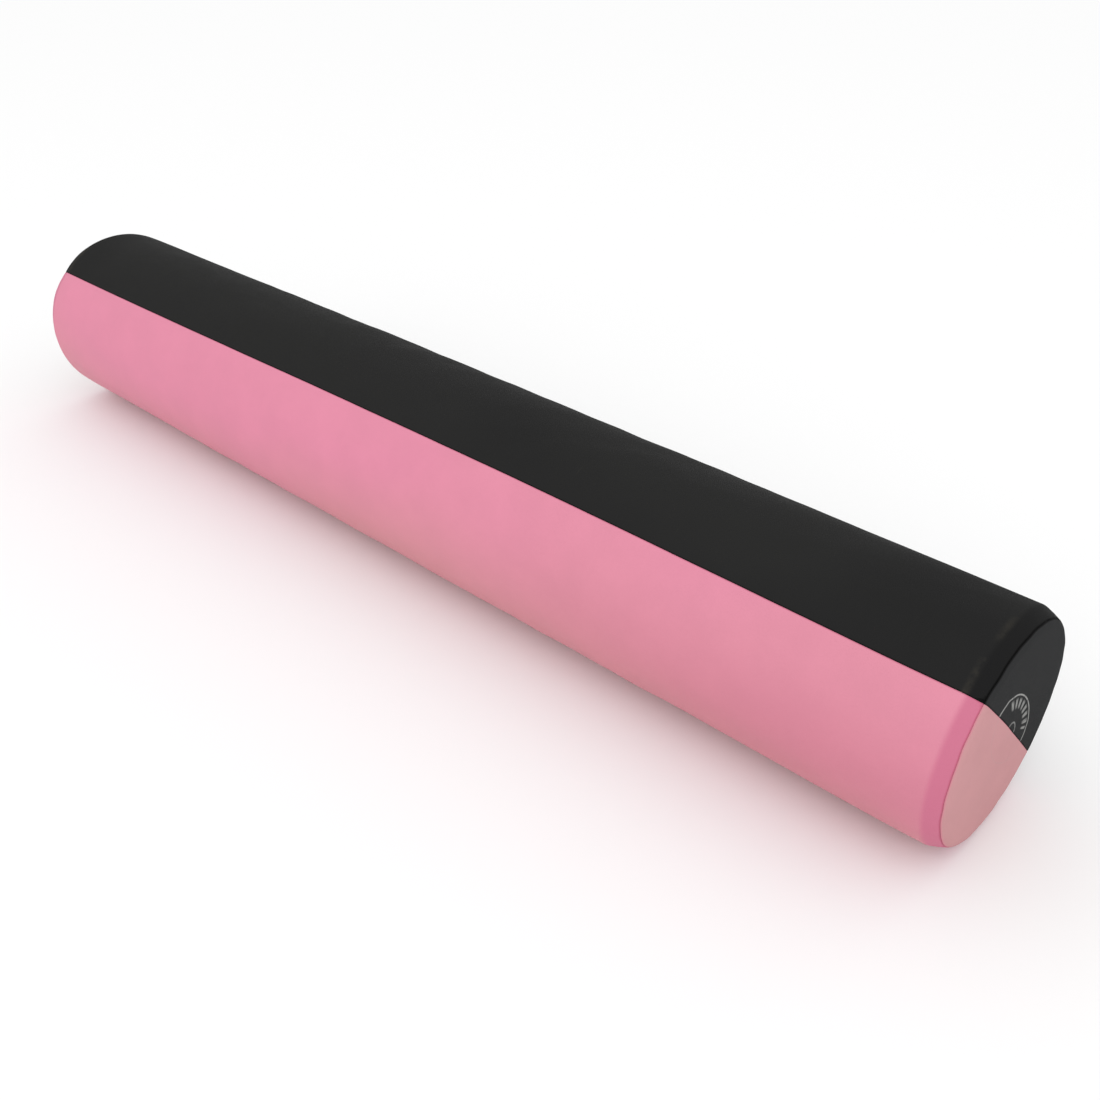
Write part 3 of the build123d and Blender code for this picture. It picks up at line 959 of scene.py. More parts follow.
def vinyl(name, upper_lit, lower_shaded, specular, roughness, change):
    """Coated cloth up to its own colour, which changes in patches and, as painted shade, softly with
    height.
    """
    material, tree, shader, where = new_material(name, (roughness, 1.5), specular)
    patches = use_group(tree, mottle_group, {"Place": where, "Patches": PATCHES})
    height = place(tree, "ShaderNodeSeparateXYZ", {0: where}).outputs["Z"]
    # painted shade: low_down is 1 at the floor and 0 from SHADE_TOP up, and with the patches it mixes the
    # lit and the shaded colour
    low_down = calc(tree, "SUBTRACT", 1.0, fade(tree, height, 0.0, SHADE_TOP))
    shade = calc(tree, "MULTIPLY_ADD", patches["Large"], change, low_down)
    shade = calc(tree, "ADD", shade, -change / 2, clamp=True)
    colour = blend_colour(tree, shade, upper_lit, lower_shaded)
    speckle = calc(tree, "MULTIPLY_ADD", patches["Small"], 0.05, 0.975)
    grey = place(tree, "ShaderNodeCombineColor", {0: speckle, 1: speckle, 2: speckle})
    return SimpleNamespace(
        material=material,
        tree=tree,
        shader=shader,
        where=where,
        patches=patches,
        low_down=low_down,
        on_roll=use_group(tree, round_group, {"Place": where}),
        roughness=roughness,
        colour=blend_colour(tree, 1.0, colour, grey.outputs[0], "MULTIPLY"),
    )


# %% [markdown]
# The last steps are the same for every vinyl: marks, painted shade in the seam crease, gloss and grain. On
# the black body the marks include a painted highlight. The grain is a bump, and a faint slower bump rides
# on it, because pressed cloth is never dead flat.

# %% Finish a vinyl
GRAIN_CELLS = 1150.0


def finish_vinyl(cloth, crease_shade, marks, mark_colour):
    """Adds marks, painted shade in the seam crease, gloss and grain to a vinyl, and joins them to its
    shader.
    """
    tree = cloth.tree
    seam = use_group(tree, seam_shade_group, {"Width": CREASE_WIDTH})
    # marks: scuffs, and on the black body also the painted ridge highlight
    colour = blend_colour(tree, marks, cloth.colour, mark_colour)
    # painted shade: the colour darkens in the last millimetre before a seam
    colour = blend_colour(tree, seam["Crease"], colour, crease_shade)
    tree.links.new(colour, cloth.shader.inputs["Base Color"])
    rough = calc(tree, "MULTIPLY_ADD", cloth.patches["Small"], 0.10, cloth.roughness - 0.05)
    rough = calc(tree, "MULTIPLY_ADD", marks, 0.25, rough, clamp=True)
    tree.links.new(rough, cloth.shader.inputs["Roughness"])
    grain = use_group(tree, grain_group, {"Place": cloth.where, "Cells": GRAIN_CELLS})
    pressed = place(
        tree,
        "ShaderNodeBump",
        {"Strength": 0.70, "Distance": 0.00026, "Height": grain["Height"]},
    ).outputs["Normal"]
    slower = place(
        tree,
        "ShaderNodeBump",
        {
            "Strength": 0.12,
            "Distance": 0.0010,
            "Height": cloth.patches["Small"],
            "Normal": pressed,
        },
    )
    tree.links.new(slower.outputs["Normal"], cloth.shader.inputs["Normal"])


# %% [markdown]
# The ridge is where the body begins to slope in to the seam. On the black a thin, broken, brownish streak
# is painted along it, strongest near the front seam: a painted highlight. On both colours the band beyond
# the ridge is painted darker, as painted shade on its slope, and on the pink it is a deeper pink. The pink
# flank towards the right end is a deeper pink too, where hands take hold of the beam.

# %% Recipe for a body panel's vinyl
# brownish colour of the real scuffs and of the painted highlight on the black ridge
SCUFF_AND_HIGHLIGHT_COLOUR = (0.055, 0.050, 0.040, 1)
RIDGE_X = SEAM_X - BAND
HIGHLIGHT_X = RIDGE_X - 0.001  # middle of the painted ridge highlight
HIGHLIGHT_HALF = 0.0042
HANDLED = (0.08, 0.52)  # along the beam, where handling begins to show and where it is full


def painted_ridge_highlight(cloth, along_x):
    """A painted highlight: a broken light streak on the ridge, near the front seam of the black panel."""
    tree = cloth.tree
    off_ridge = calc(tree, "ABSOLUTE", calc(tree, "SUBTRACT", along_x, HIGHLIGHT_X))
    on_ridge = calc(tree, "SUBTRACT", 1.0, fade(tree, off_ridge, 0.0002, HIGHLIGHT_HALF))
    broken = place(
        tree,
        "ShaderNodeTexNoise",
        {"Vector": cloth.where, "Scale": 26.0, "Detail": 6.0, "Roughness": 0.7},
    ).outputs["Fac"]
    near_front = calc(tree, "SUBTRACT", 1.0, fade(tree, cloth.on_roll["Angle"], 0.35, 0.95))
    ridge_highlight = calc(tree, "MULTIPLY", on_ridge, fade(tree, broken, 0.42, 0.66))
    return calc(tree, "MULTIPLY", ridge_highlight, near_front)


def body_vinyl(name, upper_lit, lower_shaded, crease_shade, specular, roughness, change, band_shade_and_flank_colour, scuffs_and_highlight, handled):
    """Vinyl of a body panel, with painted shade in its band, a painted highlight on its ridge, scuffs, and
    its handled flank.
    """
    cloth = vinyl(name, upper_lit, lower_shaded, specular, roughness, change)
    tree = cloth.tree
    along_x = calc(tree, "ABSOLUTE", cloth.on_roll["Along"])
    high_up = calc(tree, "SUBTRACT", 1.0, cloth.low_down)
    flank = calc(tree, "MULTIPLY", calc(tree, "MULTIPLY", high_up, 4.0), cloth.low_down)
    deeper = calc(tree, "MULTIPLY", flank, fade(tree, cloth.on_roll["Along"], *HANDLED))
    deeper = calc(tree, "MULTIPLY", deeper, handled)
    colour = blend_colour(tree, deeper, cloth.colour, band_shade_and_flank_colour)
    # painted shade: the band beyond the ridge, sloping in to the seam, takes the darker band colour
    past_ridge = fade(tree, along_x, RIDGE_X - 0.0020, RIDGE_X + 0.0035)
    stretched = calc(tree, "MULTIPLY", past_ridge, 0.85)
    cloth.colour = blend_colour(tree, stretched, colour, band_shade_and_flank_colour)
    scuffs = use_group(tree, scuff_group, {"Place": cloth.where, "Amount": 0.4})["Mask"]
    scuffs = calc(tree, "MULTIPLY", scuffs, 0.18)
    # painted highlight: the light streak on the ridge, joined with the real scuffs
    ridge_highlight = calc(tree, "MULTIPLY", painted_ridge_highlight(cloth, along_x), 0.62)
    marks = calc(tree, "MULTIPLY", calc(tree, "MAXIMUM", scuffs, ridge_highlight), scuffs_and_highlight, clamp=True)
    finish_vinyl(cloth, crease_shade, marks, SCUFF_AND_HIGHLIGHT_COLOUR)
    return cloth.material


# %% Body vinyls
black_vinyl = body_vinyl(
    "black_vinyl",
    upper_lit=(0.0212, 0.0212, 0.0208, 1),
    lower_shaded=(0.0148, 0.0148, 0.0150, 1),
    crease_shade=(0.0040, 0.0040, 0.0040, 1),
    specular=0.02,
    roughness=0.66,
    change=1.0,
    band_shade_and_flank_colour=(0.0130, 0.0130, 0.0132, 1),
    scuffs_and_highlight=1.0,
    handled=0.0,
)
pink_vinyl = body_vinyl(
    "pink_vinyl",
    upper_lit=(0.722, 0.254, 0.362, 1),
    lower_shaded=(0.648, 0.272, 0.310, 1),
    crease_shade=(0.50, 0.115, 0.19, 1),
    specular=0.10,
    roughness=0.55,
    change=0.65,
    band_shade_and_flank_colour=(0.580, 0.162, 0.258, 1),
    scuffs_and_highlight=0.0,
    handled=0.40,
)
print("body vinyls made")

# %% [markdown]
# ### The end faces and their print
#
# The end panels have colours of their own: the black is a touch lighter and cooler than the body's, as
# painted light on the end face, and the pink is greyer, as painted shade. In the middle of the right end
# is a printed mark. It is plain decoration: a thin oval, an arc of short bars inside it, and a little ring
# at its centre. On the black it is pale grey, and on the pink it has almost rubbed off.

# %% Group: the end print
OVAL_MIDDLE = (0.008, 0.004)
OVAL_HALF = (0.048, 0.026)
print_group, given, made = new_group("end print", {"To Front": 0.0, "To Black": 0.0}, ["Mask"])
tree = print_group
OVAL_RING = 1.0  # this and the next three are shares of the oval's own size
INNER_RING = 0.22
BAR_BAND = 0.76
BAR_HALF = 0.13
BARS = 22.0  # bars to a full turn
ARC_HALF = 1.10  # half the arc of bars, in radians


def oval_place(title, middle, half):
    """Where a point is across the oval: -1 and 1 at its edges."""
    return calc(tree, "DIVIDE", calc(tree, "SUBTRACT", given[title], middle), half)


def ring_mask(distance, radius, half_width):
    """A thin ring at a radius, as a share of the oval."""
    off = calc(tree, "ABSOLUTE", calc(tree, "SUBTRACT", distance, radius))
    return calc(tree, "SUBTRACT", 1.0, fade(tree, off, half_width * 0.6, half_width * 1.4))


oval_x = oval_place("To Front", OVAL_MIDDLE[0], OVAL_HALF[0])
oval_y = oval_place("To Black", OVAL_MIDDLE[1], OVAL_HALF[1])
squares = calc(tree, "ADD", calc(tree, "POWER", oval_x, 2.0), calc(tree, "POWER", oval_y, 2.0))
distance = calc(tree, "SQRT", squares)
angle = calc(tree, "ARCTAN2", oval_y, oval_x)

ring = ring_mask(distance, OVAL_RING, 0.022)
inner = calc(tree, "MULTIPLY", ring_mask(distance, INNER_RING, 0.025), 0.6)
bars = fade(tree, calc(tree, "SINE", calc(tree, "MULTIPLY", angle, BARS)), -0.25, 0.10)
off_middle = calc(tree, "ABSOLUTE", calc(tree, "SUBTRACT", angle, pi / 2))
in_arc = calc(tree, "SUBTRACT", 1.0, fade(tree, off_middle, ARC_HALF - 0.02, ARC_HALF + 0.02))
bars = calc(tree, "MULTIPLY", ring_mask(distance, BAR_BAND, BAR_HALF), bars)
bars = calc(tree, "MULTIPLY", bars, in_arc)
rings = calc(tree, "MAXIMUM", ring, inner)
tree.links.new(calc(tree, "MAXIMUM", rings, calc(tree, "MULTIPLY", bars, 0.8)), made["Mask"])
print("print group:", len(tree.nodes), "nodes")


# %% Recipe for an end panel's vinyl
PRINT_COLOUR = (0.34, 0.34, 0.33, 1)
DUSTY_MARK = (0.5, 0.45, 0.44, 1)


def end_vinyl(name, upper_lit, lower_shaded, crease_shade, specular, roughness, printed):
    """Vinyl of an end panel, with the print at a strength on the right end only."""
    cloth = vinyl(name, upper_lit, lower_shaded, specular, roughness, 0.8)
    tree = cloth.tree
    if printed > 0:
        sides = {title: cloth.on_roll[title] for title in ("To Front", "To Black")}
        mark = use_group(tree, print_group, sides)["Mask"]
        worn = place(
            tree, "ShaderNodeTexNoise", {"Vector": cloth.where, "Scale": 210.0, "Detail": 4.0}
        ).outputs["Fac"]
        mark = calc(tree, "MULTIPLY", mark, fade(tree, worn, 0.22, 0.50))
        mark = calc(tree, "MULTIPLY", mark, printed)
        cloth.colour = blend_colour(tree, mark, cloth.colour, PRINT_COLOUR)
    marks = use_group(tree, scuff_group, {"Place": cloth.where, "Amount": 0.3})["Mask"]
    finish_vinyl(cloth, crease_shade, calc(tree, "MULTIPLY", marks, 0.10), DUSTY_MARK)
    return cloth.material


# %% End vinyls
# painted light: the black end is lighter than the black body, for the light falling on the end face
black_end_shades = dict(
    upper_lit=(0.0335, 0.0340, 0.0348, 1),
    lower_shaded=(0.0290, 0.0294, 0.0302, 1),
    crease_shade=(0.010, 0.010, 0.010, 1),
    specular=0.02,
    roughness=0.85,
)
# painted shade: the pink end is greyer than the pink body
pink_end_shades = dict(
    upper_lit=(0.575, 0.298, 0.312, 1),
    lower_shaded=(0.560, 0.290, 0.300, 1),
    crease_shade=(0.62, 0.25, 0.30, 1),
    specular=0.02,
    roughness=0.85,
)
black_end_printed = end_vinyl("black_end_vinyl_printed", printed=0.95, **black_end_shades)
pink_end_printed = end_vinyl("pink_end_vinyl_printed", printed=0.10, **pink_end_shades)
black_end_plain = end_vinyl("black_end_vinyl", printed=0.0, **black_end_shades)
pink_end_plain = end_vinyl("pink_end_vinyl", printed=0.0, **pink_end_shades)
print("end vinyls made")

# %% [markdown]
# ## Hand the panels over
#
# Each panel takes its finish and its thickness, then stands for its plain part in the model.

# %% Finish the cover
black_body.data.materials.append(black_vinyl)
pink_body.data.materials.append(pink_vinyl)
finish_panel(black_body, "black_body_panel")
finish_panel(pink_body, "pink_body_panel")

end_finishes = {
    "right_end_black": black_end_printed,
    "right_end_pink": pink_end_printed,
    "left_end_black": black_end_plain,
    "left_end_pink": pink_end_plain,
}
for part, panel in ends.items():
    panel.data.materials.append(end_finishes[part])
    finish_panel(panel, part + "_panel")

# %% [markdown]
# ## The foam inside
#
# Inside lie a firm core, a softer wrap round it, and a soft cushion at each end. None of it shows while
# the cover is closed, but the parts are real and someone may take the cover off. Cut foam has an
# even skin of tiny open cells and edges that are never quite sharp. A voxel remesh of the plain part
# rounds its edges evenly, and a small displacement takes away the machined look.

# %% Foam finish
def foam_finish(name, colour, shade, cells):
    """Cut foam: open cells with a soft, chalky surface."""
    material, tree, shader, where = new_material(name, (0.95, 1.45), 0.15)
    patches = use_group(tree, mottle_group, {"Place": where, "Patches": 9.0})
    tree.links.new(blend_colour(tree, patches["Large"], colour, shade), shader.inputs["Base Color"])
    pores = place(tree, "ShaderNodeTexVoronoi", {"Vector": where, "Scale": cells}, feature="F1")
    rough = calc(tree, "MULTIPLY_ADD", patches["Small"], 0.08, 0.88)
    tree.links.new(rough, shader.inputs["Roughness"])
    bump = place(
        tree,
        "ShaderNodeBump",
        {"Strength": 0.7, "Distance": 0.0006, "Height": pores.outputs["Distance"]},
    )
    tree.links.new(bump.outputs["Normal"], shader.inputs["Normal"])
    return material


soft_finish = foam_finish("soft_foam", (0.80, 0.76, 0.62, 1), (0.72, 0.67, 0.52, 1), 900.0)
firm_finish = foam_finish("firm_foam", (0.76, 0.76, 0.73, 1), (0.66, 0.66, 0.64, 1), 1500.0)


# %% Foam pieces
VOXEL = 0.005
CUT_DEPTH = 0.0004
CUT_UNEVEN = 0.0002


def shrink_skin(mesh):
    """Moves every point inwards, a little unevenly, as hand-cut foam is."""
    count = len(mesh.vertices)
    points = np.zeros(count * 3)
    normals = np.zeros(count * 3)
    mesh.vertices.foreach_get("co", points)
    mesh.vertex_normals.foreach_get("vector", normals)
    points = points.reshape(-1, 3)
    normals = normals.reshape(-1, 3)
    wave = np.sin(points[:, 0] * 61) * np.sin(points[:, 1] * 83 + 1) * np.sin(points[:, 2] * 71 + 2)
    points = points - normals * (CUT_DEPTH + CUT_UNEVEN * wave)[:, None]
    mesh.vertices.foreach_set("co", points.reshape(-1))
    mesh.update()


def foam_piece(name, node, finish):
    """A softened copy of a foam part, a hair smaller than its plain one."""
    mesh = frame["nodes"][node].data.copy()
    mesh.name = name
    merge_doubles(mesh)
    mesh.materials.clear()
    piece = bpy.data.objects.new(name, mesh)
    scene.collection.objects.link(piece)
    remesh = piece.modifiers.new("even skin", "REMESH")
    remesh.mode = "VOXEL"
    remesh.voxel_size = VOXEL
    remesh.use_smooth_shade = True
    settled = piece.evaluated_get(bpy.context.evaluated_depsgraph_get())
    skin = bpy.data.meshes.new_from_object(settled)
    piece.modifiers.remove(remesh)
    piece.data = skin
    skin.name = name
    shrink_skin(skin)
    skin.materials.clear()
    skin.materials.append(finish)
    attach(piece, "roll")
    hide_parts(node)
    print(name, len(skin.polygons), "faces")


foam_piece("firm_core_foam", "firm_core", firm_finish)
foam_piece("soft_wrap_foam", "soft_wrap", soft_finish)
foam_piece("left_end_cushion_foam", "left_end_cushion", soft_finish)
foam_piece("right_end_cushion_foam", "right_end_cushion", soft_finish)

# %% [markdown]
# ## The zip's tapes
#
# Behind the slot, two woven tapes carry the coils. Each is a strip of ribbed polyester sewn to the
# hem of its panel. It follows the roll's curve, so it is made as a curved grid, and its ribs are
# made in the finish, because a real rib is a fifth of a millimetre.

# %% Woven finish
def woven(name, colour, shade, pitch):
    """Ribbed woven tape: ribs along the zip crossed by finer threads."""
    material, tree, shader, where = new_material(name, (0.85, 1.45), 0.25)
    on_roll = use_group(tree, round_group, {"Place": where})
    ribs = calc(tree, "SINE", calc(tree, "MULTIPLY", on_roll["To Black"], 2 * pi / pitch))
    picks = calc(tree, "SINE", calc(tree, "MULTIPLY", on_roll["Along"], 2 * pi / (pitch * 0.7)))
    thread = calc(tree, "MULTIPLY_ADD", calc(tree, "MULTIPLY", ribs, picks), 0.5, 0.5)
    patches = use_group(tree, mottle_group, {"Place": where, "Patches": 12.0})
    amount = calc(tree, "MULTIPLY_ADD", patches["Small"], 0.4, calc(tree, "MULTIPLY", thread, 0.6))
    tree.links.new(blend_colour(tree, amount, shade, colour), shader.inputs["Base Color"])
    tree.links.new(calc(tree, "MULTIPLY_ADD", thread, -0.12, 0.92), shader.inputs["Roughness"])
    bump = place(
        tree, "ShaderNodeBump", {"Strength": 0.6, "Distance": 0.0002, "Height": thread}
    )
    tree.links.new(bump.outputs["Normal"], shader.inputs["Normal"])
    return material


# %% Tapes
TAPE = 0.0006
TAPE_DEPTH = 0.0014  # from the cover's face in to the tape
TAPE_INNER = 0.0020
TAPE_OUTER = 0.0160
TAPE_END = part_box("zip_tape_black_side")[1].x


def tape(name, node, side, finish):
    """One tape, from its edge beside the coil to its edge under the hem."""
    x = np.linspace(-TAPE_END, TAPE_END, 160)
    across = np.linspace(TAPE_INNER, TAPE_OUTER, 9)
    angle = side * (pi - across / RADIUS)
    out = outwards(np.broadcast_to(angle, (len(x), len(across))))
    points = axis_point + x[:, None, None] * along + (RADIUS - TAPE_DEPTH) * out
    piece = panel_object(name, points, out, np.full(points.shape[:2], 0.01))
    wall = piece.modifiers.new("thickness", "SOLIDIFY")
    wall.thickness = TAPE
    wall.offset = -1.0
    piece.data.materials.append(finish)
    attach(piece, "roll")
    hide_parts(node)
    print(name, len(piece.data.polygons), "faces")


tape_finish = woven("zip_tape_weave", (0.030, 0.030, 0.032, 1), (0.010, 0.010, 0.011, 1), 0.0008)
tape("zip_tape_black_side_woven", "zip_tape_black_side", 1, tape_finish)
tape("zip_tape_pink_side_woven", "zip_tape_pink_side", -1, tape_finish)

# %% [markdown]
# ## The zip's coils
#
# A coil zip has no separate teeth. Each side is one nylon thread wound in a flat spiral, and when the
# zip is closed the turns of one side lie between the turns of the other. That is a rule, so
# Geometry Nodes make it: a spiral curve, squashed to its section, given a round thread and finished
# with its material. The same tree serves both sides, with the second set half a turn along.

# %% Helper: a geometry tree and its result
def geometry_tree(name, inputs):
    """An empty geometry tree with named inputs, each with its usual value."""
    tree = bpy.data.node_groups.new(name, "GeometryNodeTree")
    tree.interface.new_socket("Geometry", in_out="INPUT", socket_type="NodeSocketGeometry")
    for title, (kind, value) in inputs.items():
        socket = tree.interface.new_socket(title, in_out="INPUT", socket_type=kind)
        if value is not None:
            socket.default_value = value
    tree.interface.new_socket("Geometry", in_out="OUTPUT", socket_type="NodeSocketGeometry")
    return tree, tree.nodes.new("NodeGroupInput").outputs, tree.nodes.new("NodeGroupOutput").inputs


def made_by(tree, name, values):
    """Runs a geometry tree with its own values and keeps the result as a plain mesh."""
    holder = bpy.data.objects.new(name, bpy.data.meshes.new(name + "_start"))
    scene.collection.objects.link(holder)
    modifier = holder.modifiers.new("pattern", "NODES")
    modifier.node_group = tree
    sockets = {
        item.name: item.identifier
        for item in tree.interface.items_tree
        if item.item_type == "SOCKET" and item.in_out == "INPUT"
    }
    for title, value in values.items():
        modifier[sockets[title]] = value
    settled = holder.evaluated_get(bpy.context.evaluated_depsgraph_get())
    mesh = bpy.data.meshes.new_from_object(settled)
    holder.modifiers.remove(modifier)
    holder.data = mesh
    mesh.name = name
    print(name, len(mesh.polygons), "faces")
    return holder


# %% [markdown]
# The spiral of Geometry Nodes climbs along Z, so it is laid down along X, then moved to its place
# in front of the tape. The zip's own directions are along the beam, across the slot and outwards.

# %% Coil tree
coil_tree, given, made = geometry_tree(
    "coil",
    {
        "Turns": ("NodeSocketFloat", 700.0),
        "Length": ("NodeSocketFloat", 1.0),
        "Half Width": ("NodeSocketFloat", 0.0016),
        "Half Height": ("NodeSocketFloat", 0.0009),
        "Thread": ("NodeSocketFloat", 0.00032),
        "Turn": ("NodeSocketVector", None),
        "Start": ("NodeSocketVector", None),
        "Finish": ("NodeSocketMaterial", None),
    },
)
tree = coil_tree
spiral = place(
    tree,
    "GeometryNodeCurveSpiral",
    {
        "Resolution": 10,
        "Rotations": given["Turns"],
        "Start Radius": 1.0,
        "End Radius": 1.0,
        "Height": given["Length"],
    },
)
section = place(
    tree,
    "ShaderNodeCombineXYZ",
    {"X": given["Half Width"], "Y": given["Half Height"], "Z": 1.0},
)
flattened = place(
    tree,
    "GeometryNodeTransform",
    {"Geometry": spiral.outputs["Curve"], "Scale": section.outputs[0]},
)
laid = place(
    tree,
    "GeometryNodeTransform",
    {
        "Geometry": flattened.outputs["Geometry"],
        "Rotation": given["Turn"],
        "Translation": given["Start"],
    },
)
round_thread = place(
    tree, "GeometryNodeCurvePrimitiveCircle", {"Resolution": 5, "Radius": given["Thread"]}
)
wire = place(
    tree,
    "GeometryNodeCurveToMesh",
    {"Curve": laid.outputs["Geometry"], "Profile Curve": round_thread.outputs["Curve"]},
)
smooth_wire = place(tree, "GeometryNodeSetShadeSmooth", {"Geometry": wire.outputs["Mesh"]})
real = place(tree, "GeometryNodeRealizeInstances", {"Geometry": smooth_wire.outputs["Geometry"]})
dressed = place(
    tree,
    "GeometryNodeSetMaterial",
    {"Geometry": real.outputs["Geometry"], "Material": given["Finish"]},
)
tree.links.new(dressed.outputs["Geometry"], made["Geometry"])


# %% Coil finish
def nylon(name, colour, shade):
    """Smooth nylon thread, a little dusty."""
    material, tree, shader, where = new_material(name, (0.38, 1.5), 0.45)
    patches = use_group(tree, mottle_group, {"Place": where, "Patches": 60.0})
    tree.links.new(blend_colour(tree, patches["Large"], colour, shade), shader.inputs["Base Color"])
    tree.links.new(calc(tree, "MULTIPLY_ADD", patches["Small"], 0.2, 0.28), shader.inputs["Roughness"])
    return material


coil_finish = nylon("zip_coil_nylon", (0.016, 0.016, 0.017, 1), (0.032, 0.032, 0.033, 1))

# %% Wind the coils
coil_low, coil_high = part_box("zip_coil_black_side")
OUT_AT_ZIP = -TO_FRONT
ZIP_PLANE = Vector((0, 0, AXIS_Z)) + OUT_AT_ZIP * RADIUS
ALONG_ZIP = Matrix((-TO_BLACK, OUT_AT_ZIP, Vector((1, 0, 0)))).transposed()
PITCH = 0.0015
COIL_MIDDLE = 0.00140
COIL_HALF = 0.00128
COIL_RISE = -0.00018
COIL_HALF_HEIGHT = 0.00088
THREAD = 0.00031
COIL_MARGIN = 0.0008  # kept free at each end of the plain coil's length


def coil(name, node, side, shift):
    """The coil of one side. Its spiral's axis runs along the zip."""
    x_low = coil_low.x + COIL_MARGIN
    length = coil_high.x - COIL_MARGIN - x_low
    start = ZIP_PLANE + TO_BLACK * side * COIL_MIDDLE + OUT_AT_ZIP * COIL_RISE
    start.x = x_low + shift
    piece = made_by(
        coil_tree,
        name,
        {
            "Turns": (length - PITCH) / PITCH,
            "Length": length - PITCH,
            "Half Width": COIL_HALF,
            "Half Height": COIL_HALF_HEIGHT,
            "Thread": THREAD,
            "Turn": tuple(ALONG_ZIP.to_euler()),
            "Start": tuple(start),
            "Finish": coil_finish,
        },
    )
    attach(piece, "roll")
    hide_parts(node)


coil("zip_coil_black_side_wound", "zip_coil_black_side", 1, 0.0)
coil("zip_coil_pink_side_wound", "zip_coil_pink_side", -1, PITCH / 2)

# %% [markdown]
# ## The topstitching beside the zip
#
# A row of lockstitches on each side of the slot holds hem and tape together. A stitch is a short
# sunken bead of thread, and there are hundreds, so a tree lays them: a straight line is divided at
# the stitch length, and a little bead is set on each point. Every bead has only a few dozen faces.

# %% Stitch tree
stitch_tree, given, made = geometry_tree(
    "stitches",
    {
        "From": ("NodeSocketVector", None),
        "To": ("NodeSocketVector", None),
        "Step": ("NodeSocketFloat", 0.0034),
        "Bead": ("NodeSocketVector", None),
        "Turn": ("NodeSocketVector", None),
        "Seed": ("NodeSocketInt", 3),
        "Finish": ("NodeSocketMaterial", None),
    },
)
tree = stitch_tree
row_line = place(
    tree, "GeometryNodeCurvePrimitiveLine", {"Start": given["From"], "End": given["To"]}
)
spaced = place(
    tree,
    "GeometryNodeResampleCurve",
    {"Curve": row_line.outputs["Curve"], "Length": given["Step"]},
    mode="LENGTH",
)
places = place(
    tree, "GeometryNodeCurveToPoints", {"Curve": spaced.outputs["Curve"]}, mode="EVALUATED"
)
bead = place(tree, "GeometryNodeMeshUVSphere", {"Segments": 8, "Rings": 5, "Radius": 1.0})
sized = place(
    tree, "GeometryNodeTransform", {"Geometry": bead.outputs["Mesh"], "Scale": given["Bead"]}
)
wobble = place(
    tree,
    "FunctionNodeRandomValue",
    {"Seed": given["Seed"]},
    data_type="FLOAT_VECTOR",
)
wobble.inputs["Min"].default_value = (-0.05, -0.05, -0.07)
wobble.inputs["Max"].default_value = (0.05, 0.05, 0.07)
turned_bead = place(
    tree,
    "ShaderNodeVectorMath",
    {0: given["Turn"], 1: wobble.outputs["Value"]},
    operation="ADD",
)
beads = place(
    tree,
    "GeometryNodeInstanceOnPoints",
    {
        "Points": places.outputs["Points"],
        "Instance": sized.outputs["Geometry"],
        "Rotation": turned_bead.outputs[0],
    },
)
real = place(tree, "GeometryNodeRealizeInstances", {"Geometry": beads.outputs["Instances"]})
smooth_bead = place(tree, "GeometryNodeSetShadeSmooth", {"Geometry": real.outputs["Geometry"]})
dressed = place(
    tree,
    "GeometryNodeSetMaterial",
    {"Geometry": smooth_bead.outputs["Geometry"], "Material": given["Finish"]},
)
tree.links.new(dressed.outputs["Geometry"], made["Geometry"])

# %% Sew the rows
thread_finish = nylon("sewing_thread", (0.030, 0.030, 0.031, 1), (0.050, 0.050, 0.052, 1))
ROW = SLOT_EDGE + 0.0026
ROW_END = SLOT_HALF + 0.0035
ROW_STITCH = (0.0034, 0.0029)  # step from stitch to stitch, and length of one
TACK_STITCH = (0.0011, 0.0016)  # the short bar that closes a row is sewn tighter
TACK_SPAN = (ROW - 0.0012, 0.0012)
THREAD_RISE = 0.00008  # the thread sinks into the cloth to almost half its height


def stitch_row(name, first, last, stitch, side):
    """A row of stitches between two places, given along the beam and by distance from the zip."""
    step, length = stitch
    ends_of_row = []
    for x, across in (first, last):
        angle = np.array(side * (pi - across / RADIUS))
        on_cover = axis_point + x * along + (RADIUS + THREAD_RISE) * outwards(angle)
        ends_of_row.append(Vector(on_cover))
    run = (ends_of_row[1] - ends_of_row[0]).normalized()
    turn = Matrix((run, OUT_AT_ZIP.cross(run), OUT_AT_ZIP)).transposed()
    return made_by(
        stitch_tree,
        name,
        {
            "From": tuple(ends_of_row[0]),
            "To": tuple(ends_of_row[1]),
            "Step": step,
            "Bead": (length / 2, 0.00030, 0.00022),
            "Turn": tuple(turn.to_euler()),
            "Seed": 3,
            "Finish": thread_finish,
        },
    )


def one_piece(name, parts):
    """Joins meshes into one piece on the roll."""
    bpy.ops.object.select_all(action="DESELECT")
    for part in parts:
        part.select_set(True)
    bpy.context.view_layer.objects.active = parts[0]
    bpy.ops.object.join()
    piece = parts[0]
    piece.name = name
    piece.data.name = name
    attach(piece, "roll")
    print(name, len(piece.data.polygons), "faces")


for side, colour_name in ((1, "black"), (-1, "pink")):
    rows = [stitch_row("row", (-ROW_END, ROW), (ROW_END, ROW), ROW_STITCH, side)]
    for x in (ROW_END, -ROW_END):
        rows.append(stitch_row("tack", (x, TACK_SPAN[0]), (x, TACK_SPAN[1]), TACK_STITCH, side))
    one_piece(f"topstitching_{colour_name}_side", rows)

# %% [markdown]
# ## Metal: the stops, the slider and its pull
#
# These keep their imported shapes, which are right to a tenth of a millimetre, and only need finishes. The
# stops are bare aluminium with fine tumbled scratches. The slider and pull are cast in zinc and
# enamelled black. The enamel has worn through to the metal where the pull knocks and rubs.

